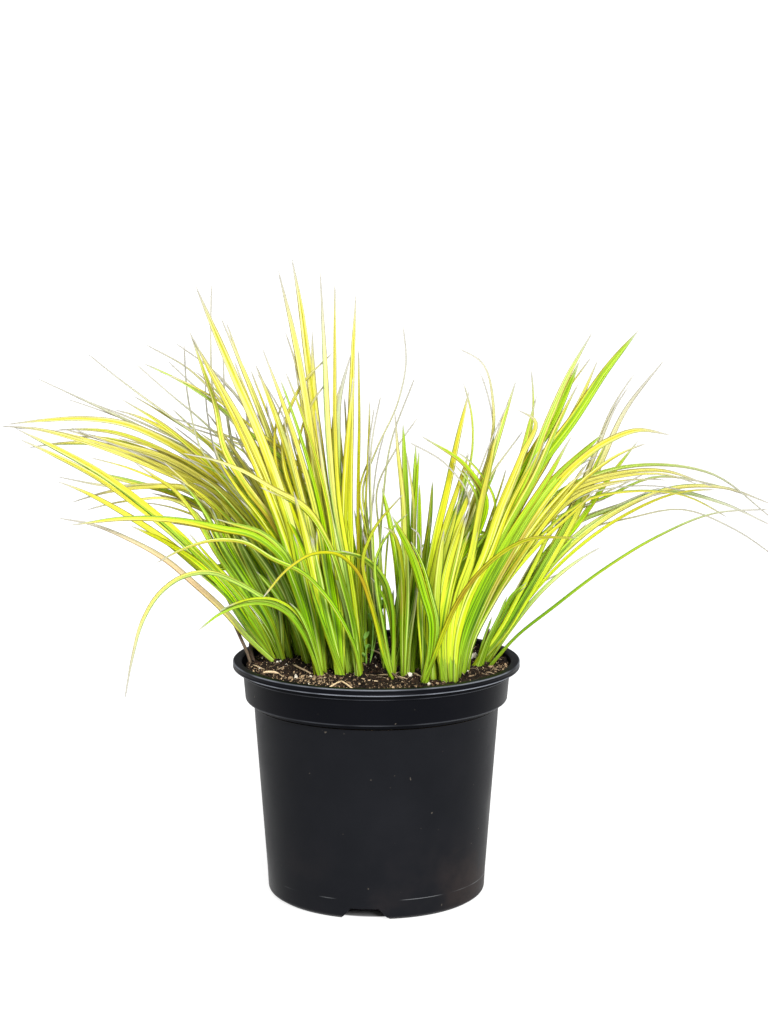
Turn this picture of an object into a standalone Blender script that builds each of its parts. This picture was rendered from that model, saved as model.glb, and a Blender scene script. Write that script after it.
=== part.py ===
"""Potted golden edge japanese sweet flag: a clump of flat leaf fans growing in a black nursery pot.

Metres, +Z up. The origin is the middle of the pot's underside, and the viewer of the survey stands at -Y.
"""

import math
import random

import bmesh
import bpy
from mathutils import Vector
from mathutils.bvhtree import BVHTree

MM = 0.001

# Pot: turned in one piece, radii and heights in millimetres
RIM_RADIUS = 87.5
RIM_HEIGHT = 145.0
WALL = 1.3
LIP_DEPTH = 4.3
LIP_THICKNESS = 1.4
LIP_EDGE = 0.6
FLANGE_THICKNESS = 1.5
SHOULDER_RADIUS = 83.1
SHOULDER_DEPTH = 7.4
COLLAR_DEPTH = 8.0
COLLAR_TOP_RADIUS = 81.2
COLLAR_FOOT_RADIUS = 80.0
COLLAR_FOOT_HEIGHT = 121.0
BODY_TOP_RADIUS = 74.7
BODY_TOP_HEIGHT = 116.0
BODY_FOOT_RADIUS = 66.6
BODY_FOOT_HEIGHT = 5.0
FOOT_RADIUS = 64.2
FOOT_RING = 6.2
FLOOR = 1.6
PAD_RADIUS = 34.0
CHANNEL_HEIGHT = 7.5
CHANNEL_SLOPE = 4.0
POT_SEGMENTS = 28
NOTCHES = 3
NOTCH_TURN = math.radians(-6.0)
NOTCH_HEIGHT = 7.2
NOTCH_BELOW = 1.0
NOTCH_FOOT_WIDTH = 30.5
NOTCH_TOP_WIDTH = 17.0
NOTCH_REACH = 24.0
DRAINS = 6
DRAIN_RADIUS = 4.5
DRAIN_RING_RADIUS = 46.0
DRAIN_SIDES = 12

# Soil
GAP = 0.3
SOIL_LEVEL = 143.0
SOIL_EDGE_LEVEL = 142.2
SOIL_FLAT_RADIUS = 58.0
SOIL_SHOULDER = 0.4

# Leaf fans: a sheath grown from stacked leaf bases
SHEATH_WIDTH = 5.2
SHEATH_FOOT = 134.0
SHEATH_TOP = 149.0
LAYER = 1.35
BASE_THICKNESS = 1.25
TIP_THICKNESS = 0.5
THINNING = 1.5
WIDE_UNTIL = 5
TIP_ROUNDING = 0.7
TURNED_BY = 2.5
CLEARANCE = 0.45
TOUCH = 0.1
FULL_LENGTH = 255.0
MOST_LEAN = 0.75
FILLED_READINGS = 4
LEAN_STEP = 4.0
MOST_LEAN_SHIFT = 96.0
LAYER_SPREAD = 0.9

# Leaves of the fans behind: their ranges of turn, reach, rise and width, and how they arch over
SEED = 27
BACK_TRIES = 1500
BACK_LAYERS = 3
BACK_FAN_TURN = 20.0
BACK_FACE_TURN = 25.0
BACK_HEADING = 0.5
BACK_LAYER_HEADING = 0.3
BACK_REACH = (30.0, 135.0)
BACK_RISE = (45.0, 125.0)
BACK_WIDTH = (4.0, 6.5)
BACK_BEND = 1.3
BACK_ARCH = 0.62 * math.pi
CLUMP_MIDDLE_DEPTH = -18.0
CLUMP_OVAL = 1.2

# Where the survey was read from: the eye's distance in front of the pot's axis and its height
EYE_DISTANCE = 1500.0
EYE_HEIGHT = 468.7

# The outline inside which the tuft is closed, as across and height on the plane through the axis
CROWN = (
    (-100, 205), (-85, 228), (-70, 245), (-55, 255), (-40, 245), (-25, 232), (-12, 208),
    (0, 178), (12, 178), (18, 203), (30, 215), (45, 217), (60, 226), (75, 236), (92, 222),
)
LEFT_SIDE = ((-66, 143), (-92, 176), (-125, 206))
RIGHT_SIDE = ((50, 131), (55, 145), (72, 182), (92, 218))

# Each fan: root (across, back), turn of its plane in degrees, then its leaves from front to back.
# Each leaf: width, turn of its face in degrees, lean (-1 to the viewer, 1 away), then readings
# (across, height) taken up the leaf on the plane through the pot's axis, the last one at its tip.
LEFT_TUFT = (
    ((-64, -2), 10, (
        (5.5, 15, -0.2, (-79, 158.5), (-92, 173.5), (-110, 190.5), (-128, 206), (-150, 218.5),
         (-172, 227.5), (-193, 231.5)),
        (4.5, 20, 0.0, (-76, 163), (-92, 187), (-109, 204.5), (-129, 217.5), (-149.5, 227)),
        (6.0, 15, 0.2, (-72, 163), (-86, 185), (-103, 203.5), (-121, 222.5), (-142, 240.5), (-165, 258),
         (-192, 273.5), (-217, 286)),
    )),
    ((-59, 7), 5, (
        (5.0, 25, 0.1, (-67, 166), (-81, 187), (-97, 210), (-110, 233), (-122, 248.5), (-134, 257),
         (-146, 265.5)),
        (5.2, 20, 0.2, (-65, 172), (-78, 195), (-89, 217), (-99, 239), (-112, 248.5), (-137, 250.5),
         (-162, 247.5), (-184.5, 241)),
        (4.2, 30, 0.4, (-64, 178), (-79, 209), (-94, 235), (-111, 249), (-135, 251.5), (-160, 251),
         (-192.5, 256.6)),
    )),
    ((-54, 16), 0, (
        (3.6, 35, 0.2, (-63, 187), (-77, 213), (-92, 234), (-110, 246), (-131, 254.5), (-151, 262.5),
         (-173, 268.5)),
        (6.5, 20, 0.3, (-61, 188), (-76, 218), (-92, 240), (-112, 252.5), (-133, 262), (-155, 271),
         (-180, 279.5), (-203, 285.5), (-226, 287.5)),
        (5.2, 25, 0.4, (-59, 193), (-71, 224), (-88, 243), (-108, 257.5), (-129, 269), (-152, 276),
         (-190, 286)),
    )),
    ((-49, 25), -5, (
        (5.6, 15, 0.3, (-57, 192), (-70, 226), (-88, 249), (-108, 266.5), (-130, 280), (-152, 289),
         (-175, 292), (-200, 291), (-222, 288.5)),
        (3.6, 30, 0.5, (-56, 202), (-70, 231), (-88, 253), (-110, 270), (-137, 284.5), (-170, 300.5),
         (-203, 316)),
        (2.6, 30, 0.4, (-54, 195), (-66, 213), (-83, 221), (-96, 230.5), (-107, 240)),
    )),
    ((-44, 12), 10, (
        (5.6, 20, 0.1, (-53, 188), (-65, 216), (-79, 239), (-94, 257.5), (-110, 273), (-128, 288),
         (-153.5, 304)),
        (3.0, 20, 0.2, (-54, 207), (-67, 242), (-84, 269), (-104, 290), (-124, 307), (-144, 324.8)),
        (2.6, 30, 0.5, (-50, 200), (-64, 238), (-80, 263), (-96, 276), (-106.7, 283.7)),
    )),
    ((-36, -8), 5, (
        (3.2, 20, -0.1, (-44, 190), (-58, 225), (-74, 251), (-84, 268), (-90, 295), (-92, 338)),
        (2.2, 10, 0.0, (-46, 203), (-63, 237), (-79, 258), (-92, 278), (-98, 307), (-99.2, 340),
         (-98.3, 373)),
        (2.6, 20, 0.2, (-44, 207), (-58, 243), (-74, 272), (-92, 301), (-112, 321.5), (-138.3, 336.8)),
    )),
)

MIDDLE_TUFT = (
    ((-35, -37), 0, (
        (3.6, 15, -0.6, (-40, 149), (-46, 162), (-54, 172.5), (-66, 178.5), (-80, 178.3), (-94, 173),
         (-109, 161.8)),
        (3.6, 10, -0.12, (-42, 156), (-53, 172), (-68, 182), (-84, 191.5), (-101, 198), (-118, 195.3),
         (-132, 185), (-142, 169), (-149, 145), (-154, 119)),
        (5.0, 20, 0.0, (-42, 165), (-49, 188), (-58, 208), (-74, 220.5), (-94, 225), (-118, 229.8),
         (-150, 231.2), (-186, 227)),
    )),
    ((-33, -28), 0, (
        (7.0, 5, -0.2, (-38, 162), (-44, 189), (-50, 219), (-60, 253), (-72, 286.5), (-86, 319.5),
         (-98, 348), (-108, 372)),
        (5.0, 15, 0.0, (-41, 172), (-49, 202), (-62, 228), (-80, 253), (-91, 272), (-97, 301),
         (-105, 325), (-112, 345.5)),
        (4.0, 30, 0.3, (-43, 180), (-58, 216), (-74, 238), (-92, 257), (-114, 268)),
    )),
    ((-30, -17), -5, (
        (5.0, 15, 0.0, (-34, 168), (-40, 198), (-48, 231), (-58, 263), (-70, 296.5), (-83, 329),
         (-93.3, 353.5)),
        (2.0, 10, 0.1, (-36, 180), (-46, 225), (-60, 268), (-76, 311), (-90, 350.7)),
        (3.2, 25, 0.2, (-37, 192), (-48, 231), (-62, 269), (-79, 299), (-98, 321), (-120.4, 337.6)),
    )),
    ((-22, -36), 0, (
        (5.5, 10, -0.5, (-26.5, 151), (-32, 170), (-37, 192), (-43, 220), (-50, 248)),
        (4.2, 15, -0.1, (-24, 160), (-29, 190), (-36, 232), (-45, 267), (-56, 301), (-68.5, 335)),
        (3.8, 20, 0.0, (-27, 168), (-36, 204), (-48, 240), (-55.5, 264), (-55, 288), (-45, 312),
         (-26, 332)),
    )),
    ((-17, -28), 5, (
        (5.6, 10, -0.2, (-20, 165), (-26, 195), (-33, 232), (-38, 270), (-43, 307), (-50, 345),
         (-58.5, 381)),
        (6.6, 10, 0.0, (-19, 170), (-24, 202), (-30, 240), (-35, 280), (-41, 326), (-46, 364),
         (-50.3, 388)),
        (2.6, 25, 0.1, (-26, 185), (-40, 228), (-54, 261), (-62.5, 284), (-66.5, 303)),
    )),
    ((-10, -39), 0, (
        (4.2, 15, -0.8, (-13, 151), (-20, 167), (-31, 184), (-45, 198), (-63, 206.5), (-80, 216.5),
         (-97, 218), (-116, 213), (-134, 203.5)),
        (5.2, 20, -0.4, (-13, 160), (-20, 188), (-29, 216), (-43, 238.5), (-62, 249.5), (-82, 261),
         (-100, 267.5), (-117, 271)),
        (4.6, 15, 0.0, (-12.5, 167), (-18, 202), (-25, 240), (-29, 285), (-31, 330), (-33.5, 380)),
    )),
    ((-11, -22), 0, (
        (6.0, 15, -0.2, (-13, 167), (-17, 202), (-22, 240), (-23.3, 275), (-22.3, 303), (-15, 332)),
        (3.6, 15, 0.0, (-16, 170), (-24, 210), (-39, 243), (-57, 268), (-76, 283), (-98, 302),
         (-119, 315.5), (-140, 325.5)),
        (2.8, 25, 0.2, (-20, 175), (-34, 220), (-52, 256), (-68, 272), (-92, 282.3), (-124.6, 293)),
    )),
    ((-8, -2), 10, (
        (3.2, 15, -0.1, (-9, 168), (-10.8, 205), (-11, 245), (-10.3, 290), (-10.7, 334)),
        (2.6, 20, 0.2, (-11, 185), (-15, 218), (-18.3, 251.5)),
        (2.0, 25, 0.3, (-7.5, 180), (-7, 212), (-1, 247)),
    )),
    ((8, -47), 0, (
        (4.6, 10, -1.0, (4.6, 144), (1, 160), (-4, 179), (-12, 199), (-24, 209.3), (-38, 209.5),
         (-52, 201.5), (-69, 182.5)),
        (4.0, 20, -0.6, (4.4, 150), (0.5, 166), (-5, 186), (-8.2, 205), (-2, 223.5), (16, 246)),
    )),
    ((10, -30), 0, (
        (3.6, 25, -0.7, (10.5, 161), (9, 178), (3, 195.5), (-8, 206.5), (-21, 210.3), (-34, 211)),
        (4.0, 20, -0.2, (14, 168), (17, 205), (16.5, 240), (13, 272), (11, 297)),
        (5.0, 20, 0.0, (17, 165), (19, 200), (18, 240), (16, 290)),
    )),
    ((16, -37), -5, (
        (6.2, 10, -0.8, (16, 158), (16, 178), (15.3, 197), (13.6, 213), (9, 223.5), (3.5, 226.5)),
        (6.0, 20, -0.2, (19, 158), (22, 174), (24.5, 190)),
    )),
    ((5, -14), 20, (
        (2.8, 20, 0.0, (3, 172), (2, 207), (4.2, 245), (8, 274), (23.3, 317.5)),
        (2.8, 15, 0.1, (2, 175), (-4, 220), (-8, 250), (0, 273), (13, 302), (17.8, 326), (16, 348)),
    )),
    ((-3, 24), 0, (
        (4.0, 25, 0.2, (-3.5, 170), (-5, 200), (-6.5, 249)),
        (3.0, 35, 0.4, (0, 172), (1, 200), (4.5, 222)),
    )),
)

RIGHT_TUFT = (
    ((20, -30), 0, (
        (4.2, 25, -0.3, (22, 166), (26, 196), (26, 224), (26, 253)),
        (4.2, 20, 0.0, (24, 170), (29, 205), (32.5, 232), (34, 254.5)),
    )),
    ((29, -52), 0, (
        (5.2, 10, -0.9, (35, 145), (40.5, 160), (48, 177), (60, 195), (74, 208.5), (90, 217.7),
         (121.3, 219.5)),
        (5.0, 15, -0.7, (33.5, 151), (34, 167), (29.5, 185), (23.5, 205), (9, 233.5)),
        (5.2, 10, -0.2, (30, 155), (30.5, 184), (36, 219), (43, 250), (49, 280), (56, 310)),
    )),
    ((34, -43), 0, (
        (7.0, 5, -0.5, (34, 156), (36.5, 182), (42, 208), (50, 230), (57.5, 251)),
        (5.2, 15, 0.0, (37, 163), (45, 198), (57, 229), (67, 260), (76, 289.5), (84, 315.7)),
        (3.0, 10, 0.1, (38, 172), (47, 208), (60, 246), (68.5, 272), (70.3, 300), (62.6, 326.5),
         (49, 334.5)),
    )),
    ((39.5, -48), 0, (
        (6.0, 5, -0.6, (38, 160), (40, 183), (45, 207), (54, 236)),
        (4.2, 20, -0.3, (41, 172), (49, 203), (63, 226), (66.5, 240), (55, 262), (26.3, 282)),
        (2.6, 15, 0.2, (42, 175), (51, 212), (66, 252), (88.5, 285)),
    )),
    ((45.6, -49), 0, (
        (6.2, 5, -0.4, (48, 156), (54, 181), (65, 206), (75, 237), (88, 270), (95.3, 291), (84.3, 297.6)),
        (5.6, 10, -0.1, (49, 163), (60, 194), (77, 230), (91, 258), (103, 290), (116, 320), (129.5, 344.5)),
        (2.4, 15, 0.1, (50, 172), (62, 205), (78, 243), (91, 274), (94.3, 300), (93, 322)),
    )),
    ((48, -40), -5, (
        (8.5, 5, -0.3, (52, 157), (60, 184), (75, 220), (94, 258), (118, 291), (139, 323), (157.5, 346)),
        (5.2, 15, 0.0, (55, 168), (68, 202), (88, 241), (107, 274.5), (121, 300), (133, 328)),
        (1.8, 20, 0.1, (58, 180), (74, 218), (95, 262), (109, 300), (129, 329.5)),
    )),
    ((52, -33), 0, (
        (6.5, 10, -0.2, (57, 158), (66, 180), (81, 209), (98, 237), (118, 262), (139, 278.3), (157, 285),
         (178.2, 281.8)),
        (4.2, 20, 0.0, (60, 166), (74, 193), (92, 219.5), (110, 241), (128, 266)),
        (4.2, 25, 0.2, (62, 174), (76, 200), (96, 229), (117, 249.5), (143, 258.3), (171, 260.6),
         (204, 250.5)),
    )),
    ((54, -22), 0, (
        (3.2, 25, 0.2, (63, 180), (80, 212), (106, 244), (138, 260), (172, 264), (201, 259), (240, 231)),
        (2.6, 30, 0.3, (64, 182), (82, 210), (104, 232.5), (125, 244)),
        (2.2, 25, 0.4, (63, 188), (84, 221), (112, 238), (138, 247), (162, 258.5)),
    )),
    ((64, -3), 0, (
        (3.0, 20, -0.4, (69, 158), (76, 171), (83, 184.5), (91.5, 192)),
        (5.2, 10, 0.0, (76, 158), (90, 180), (106, 206.5), (121, 234), (136, 267), (149, 296), (173, 328)),
        (4.6, 15, 0.2, (73, 159), (86, 179), (103, 204.5), (124, 231), (142, 258), (158, 279)),
    )),
    ((69, 6), 5, (
        (4.2, 20, 0.1, (79, 164), (95, 189), (116, 213), (146, 236), (180, 250), (210, 250), (239, 240)),
        (4.2, 25, 0.3, (80, 172), (98, 199), (119, 227), (147, 238.8), (176, 247.8), (208, 241),
         (239, 227)),
        (2.2, 20, 0.4, (85, 177), (98, 190), (111, 197.5)),
    )),
    ((72, -7), 0, (
        (3.2, 15, -0.1, (85, 158), (107, 176), (138, 200), (170, 220), (203, 234), (238, 237)),
    )),
)

# Leaves inside the tuft, each read only at its middle and tip
INNER_LEAVES = (
    ((-29, -8), 5, (
        (6.0, 10, -0.1, (-37, 185), (-58, 238)),
        (5.0, 20, 0.1, (-35, 190), (-48, 246)),
        (5.0, 15, 0.3, (-32, 185), (-38, 232)),
    )),
    ((-43, -3), 0, (
        (6.0, 10, 0.0, (-57, 186), (-84, 224)),
        (5.5, 15, 0.2, (-54, 190), (-72, 240)),
        (4.5, 20, 0.3, (-51, 188), (-60, 236)),
    )),
    ((-24, -20), 5, (
        (6.0, 15, -0.3, (-30, 180), (-44, 232)),
        (5.5, 15, 0.0, (-27, 185), (-36, 238)),
    )),
    ((-50, 35), 0, (
        (5.0, 20, 0.2, (-66, 186), (-96, 212)),
        (5.0, 25, 0.4, (-62, 190), (-86, 230)),
        (4.5, 30, 0.5, (-58, 194), (-74, 240)),
    )),
    ((-15, 6), 0, (
        (5.5, 15, 0.1, (-19, 185), (-30, 236)),
        (5.0, 25, 0.3, (-16, 182), (-21, 224)),
    )),
    ((40, -31), 0, (
        (6.0, 15, -0.2, (47, 178), (62, 218)),
        (5.0, 25, 0.1, (44, 180), (50, 212)),
    )),
    ((46, -22), 0, (
        (6.0, 15, 0.0, (57, 182), (80, 226)),
        (5.0, 25, 0.2, (53, 182), (66, 220)),
    )),
    ((25, -19), 0, (
        (6.0, 15, -0.1, (30, 180), (38, 214)),
        (5.5, 25, 0.2, (26, 178), (30, 206)),
    )),
    ((13, -8), 0, (
        (5.0, 20, 0.1, (15, 172), (18, 204)),
        (4.0, 30, 0.3, (12, 170), (14, 190)),
    )),
    ((-27, 12), 0, (
        (5.0, 20, 0.2, (-37, 190), (-56, 246)),
        (5.0, 25, 0.5, (-33, 188), (-42, 238)),
    )),
)

# Roots of the fans behind, whose leaves lean away from the middle of the clump by a rule
BACK_ROOTS = (
    (-56, 44), (-41, 47), (-33, 32), (-22, 50), (-16, 36), (-46, 60), (-30, 62), (18, 40), (22, 10), (31, 28),
    (36, -6), (-20, 22), (-60, 24),
)


def clear_scene():
    for obj in list(bpy.data.objects):
        bpy.data.objects.remove(obj, do_unlink=True)


def new_collection(name):
    collection = bpy.data.collections.new(name)
    bpy.context.scene.collection.children.link(collection)
    return collection


def new_material(name, colour, roughness, metallic=0.0):
    material = bpy.data.materials.new(name)
    material.use_nodes = True
    shader = material.node_tree.nodes["Principled BSDF"]
    shader.inputs["Base Color"].default_value = (*colour, 1.0)
    shader.inputs["Roughness"].default_value = roughness
    shader.inputs["Metallic"].default_value = metallic
    return material


def new_object(name, mesh, collection, material=None):
    obj = bpy.data.objects.new(name, mesh)
    collection.objects.link(obj)
    if material:
        mesh.materials.append(material)
    return obj


def mesh_from(bm, name):
    mesh = bpy.data.meshes.new(name)
    bmesh.ops.recalc_face_normals(bm, faces=bm.faces)
    bm.to_mesh(mesh)
    bm.free()
    return mesh


def profile_object(name, points, collection):
    """An open outline in the XZ plane, from (radius, height) points in millimetres."""
    mesh = bpy.data.meshes.new(name)
    corners = [(radius * MM, 0.0, height * MM) for radius, height in points]
    mesh.from_pydata(corners, [(i, i + 1) for i in range(len(corners) - 1)], [])
    return new_object(name, mesh, collection)


def turn_profile(obj, segments):
    screw = obj.modifiers.new("turn", "SCREW")
    screw.steps = segments
    screw.render_steps = segments
    screw.use_merge_vertices = True
    screw.merge_threshold = 0.0001


def pot_outside():
    """The outer side of the pot, from the lip down to the middle of the underside."""
    lip_foot = RIM_HEIGHT - LIP_DEPTH
    lip_inside = RIM_RADIUS - LIP_THICKNESS
    flange = RIM_HEIGHT - FLANGE_THICKNESS
    return [
        (RIM_RADIUS - LIP_EDGE, RIM_HEIGHT),
        (RIM_RADIUS, RIM_HEIGHT - LIP_EDGE),
        (RIM_RADIUS, lip_foot),
        (lip_inside, lip_foot),
        (lip_inside, flange),
        (SHOULDER_RADIUS, flange),
        (SHOULDER_RADIUS, RIM_HEIGHT - SHOULDER_DEPTH),
        (COLLAR_TOP_RADIUS, RIM_HEIGHT - COLLAR_DEPTH),
        (COLLAR_FOOT_RADIUS, COLLAR_FOOT_HEIGHT),
        (BODY_TOP_RADIUS, BODY_TOP_HEIGHT),
        (BODY_FOOT_RADIUS, BODY_FOOT_HEIGHT),
        (FOOT_RADIUS, 0.0),
        (FOOT_RADIUS - FOOT_RING, 0.0),
        (FOOT_RADIUS - FOOT_RING - CHANNEL_SLOPE, CHANNEL_HEIGHT),
        (PAD_RADIUS + CHANNEL_SLOPE, CHANNEL_HEIGHT),
        (PAD_RADIUS, 0.0),
        (0.0, 0.0),
    ]


def pot_floor():
    """The pot's inner side below the soil: the pad, the raised channel round it and the foot ring."""
    shelf = CHANNEL_HEIGHT + WALL
    return [
        (0.0, FLOOR),
        (PAD_RADIUS - WALL, FLOOR),
        (PAD_RADIUS + CHANNEL_SLOPE - WALL, shelf),
        (FOOT_RADIUS - FOOT_RING - CHANNEL_SLOPE + WALL, shelf),
        (FOOT_RADIUS - FOOT_RING + WALL, FLOOR),
        (wall_radius(FLOOR) - WALL, FLOOR),
    ]


def wall_radius(height):
    """The outer radius of the pot's tapered body, carried on in a straight line, at this height."""
    part = (height - BODY_FOOT_HEIGHT) / (BODY_TOP_HEIGHT - BODY_FOOT_HEIGHT)
    return BODY_FOOT_RADIUS + part * (BODY_TOP_RADIUS - BODY_FOOT_RADIUS)


def wall_inside(offset):
    """The inner side of the body and of the collar's foot, moved off the wall by the offset."""
    wall = WALL + offset
    low = CHANNEL_HEIGHT + WALL + GAP
    return [
        (wall_radius(low) - wall, low),
        (BODY_TOP_RADIUS - wall, BODY_TOP_HEIGHT + 0.4 + offset),
        (COLLAR_FOOT_RADIUS - wall, COLLAR_FOOT_HEIGHT + 0.4 + offset),
    ]


def foot_notch(index, collection, extra):
    """The wedge-sided block of one notch in the foot ring, grown by the extra on its sides and top."""
    bm = bmesh.new()
    bmesh.ops.create_cube(bm, size=1.0)
    for vert in bm.verts:
        top = vert.co.z > 0
        width = (NOTCH_TOP_WIDTH if top else NOTCH_FOOT_WIDTH) + 2 * extra
        vert.co.x *= width * MM
        vert.co.y = (vert.co.y * NOTCH_REACH - FOOT_RADIUS) * MM
        vert.co.z = (NOTCH_HEIGHT + extra if top else -NOTCH_BELOW) * MM
    obj = new_object(f"notch_cutter_{index}", mesh_from(bm, "notch"), collection)
    obj.rotation_euler.z = NOTCH_TURN + index * math.tau / NOTCHES
    return obj


def drain_hole(index, collection):
    bm = bmesh.new()
    radius = DRAIN_RADIUS * MM
    depth = (CHANNEL_HEIGHT + FLOOR) * MM
    bmesh.ops.create_cone(
        bm, cap_ends=True, segments=DRAIN_SIDES, radius1=radius, radius2=radius, depth=depth,
    )
    turn = NOTCH_TURN + index * math.tau / DRAINS
    middle = Vector((math.sin(turn), -math.cos(turn), 0.0)) * DRAIN_RING_RADIUS * MM
    bmesh.ops.translate(bm, verts=bm.verts, vec=middle + Vector((0.0, 0.0, CHANNEL_HEIGHT * MM)))
    return new_object(f"drain_cutter_{index}", mesh_from(bm, "drain"), collection)


def cut(obj, cutters, collection):
    modifier = obj.modifiers.new("cut", "BOOLEAN")
    modifier.operation = "DIFFERENCE"
    modifier.operand_type = "COLLECTION"
    modifier.collection = collection
    for cutter in cutters:
        cutter.hide_render = True
        cutter.display_type = "WIRE"


def pot_hollow(home):
    """The space inside the pot, which bends over each notch of the foot."""
    over_notches = new_collection("over_notches")
    above_rim = RIM_HEIGHT + 5.0
    mouth = SHOULDER_RADIUS - WALL
    outline = pot_floor() + wall_inside(0.0)
    outline.append((COLLAR_TOP_RADIUS - WALL, RIM_HEIGHT - COLLAR_DEPTH))
    outline += [(mouth, RIM_HEIGHT - SHOULDER_DEPTH + WALL), (mouth, above_rim), (0.0, above_rim)]
    hollow = profile_object("pot_hollow", outline[::-1], home)
    turn_profile(hollow, POT_SEGMENTS)
    cut(hollow, [foot_notch(i, over_notches, WALL) for i in range(NOTCHES)], over_notches)
    return hollow


def make_pot(parts, cutters_home):
    material = new_material("black_pot_plastic", (0.018, 0.021, 0.026), 0.42)
    outline = [(0.0, RIM_HEIGHT)] + pot_outside()
    pot = profile_object("pot", outline, parts)
    pot.data.materials.append(material)
    turn_profile(pot, POT_SEGMENTS)
    cutters = [pot_hollow(cutters_home)]
    cutters += [foot_notch(i, cutters_home, 0.0) for i in range(NOTCHES)]
    cutters += [drain_hole(i, cutters_home) for i in range(DRAINS)]
    cut(pot, cutters, cutters_home)
    return pot


def make_soil(parts, pockets_home, pockets):
    """The potting mix: it rests on the raised channel, dips to the wall and has a slot for each sheath."""
    material = new_material("potting_mix", (0.05, 0.034, 0.024), 0.95)
    part = (SOIL_EDGE_LEVEL - COLLAR_FOOT_HEIGHT) / (RIM_HEIGHT - COLLAR_DEPTH - COLLAR_FOOT_HEIGHT)
    collar = COLLAR_FOOT_RADIUS + min(part, 1.0) * (COLLAR_TOP_RADIUS - COLLAR_FOOT_RADIUS)
    edge = collar - WALL - 2 * GAP
    outline = [(0.0, CHANNEL_HEIGHT + WALL + GAP)] + wall_inside(GAP)
    outline += [(edge, SOIL_EDGE_LEVEL - 1.0), (edge - 1.0, SOIL_EDGE_LEVEL)]
    outline += [(SOIL_FLAT_RADIUS + 10.0, SOIL_LEVEL - SOIL_SHOULDER), (SOIL_FLAT_RADIUS, SOIL_LEVEL)]
    outline += [(0.0, SOIL_LEVEL)]
    soil = profile_object("soil", outline[::-1], parts)
    soil.data.materials.append(material)
    turn_profile(soil, POT_SEGMENTS)
    cut(soil, pockets, pockets_home)
    return soil


def unit(vector):
    return vector.normalized()


def sight_point(across, height, depth):
    """The place at this depth, in millimetres, that hides the reading on the plane through the axis."""
    scale = (depth + EYE_DISTANCE) / EYE_DISTANCE
    return Vector((across * scale, depth, EYE_HEIGHT + (height - EYE_HEIGHT) * scale))


def seen_at(point):
    """Where a place is read on the plane through the axis."""
    scale = (point.y + EYE_DISTANCE) / EYE_DISTANCE
    return point.x / scale, EYE_HEIGHT + (point.z - EYE_HEIGHT) / scale


def line_at(line, value, along=0):
    """Reads a sorted broken line at the value."""
    for first, second in zip(line, line[1:]):
        if first[along] <= value <= second[along]:
            part = (value - first[along]) / (second[along] - first[along])
            return first[1 - along] + part * (second[1 - along] - first[1 - along])
    return line[0][1 - along] if value < line[0][along] else line[-1][1 - along]


def inside_tuft(point):
    across, height = seen_at(point)
    if height < SHEATH_TOP:
        return True
    left = line_at(LEFT_SIDE, height, along=1)
    right = line_at(RIGHT_SIDE, height, along=1)
    return left + 3 < across < right - 3 and height < line_at(CROWN, across) - 2


def filled_in(root, readings):
    """Readings at only a leaf's middle and tip, made into more along an arc from its root."""
    if len(readings) != 2:
        return list(readings)
    start = Vector((root[0], SHEATH_TOP))
    middle, tip = (Vector(reading) for reading in readings)
    bend = 2 * middle - (start + tip) / 2
    steps = [i / FILLED_READINGS for i in range(1, FILLED_READINGS + 1)]
    return [tuple((1 - t) ** 2 * start + 2 * t * (1 - t) * bend + t * t * tip) for t in steps]


def lengths_along(points):
    total = [0.0]
    for first, second in zip(points, points[1:]):
        total.append(total[-1] + (second - first).length)
    return [value / total[-1] for value in total], total[-1]


class Fan:
    """One flat shoot: a sheath of stacked leaf bases, and the leaves that grow from it."""

    def __init__(self, root, turn, count):
        self.root = Vector((root[0], root[1], 0.0))
        angle = math.radians(turn)
        self.along = Vector((math.cos(angle), math.sin(angle), 0.0))
        self.through = Vector((-math.sin(angle), math.cos(angle), 0.0))
        self.count = count
        self.leaves = []

    def cap_middle(self, layer):
        shift = (layer - (self.count - 1) / 2) * LAYER
        return self.root + self.through * shift + Vector((0.0, 0.0, SHEATH_TOP))


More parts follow.
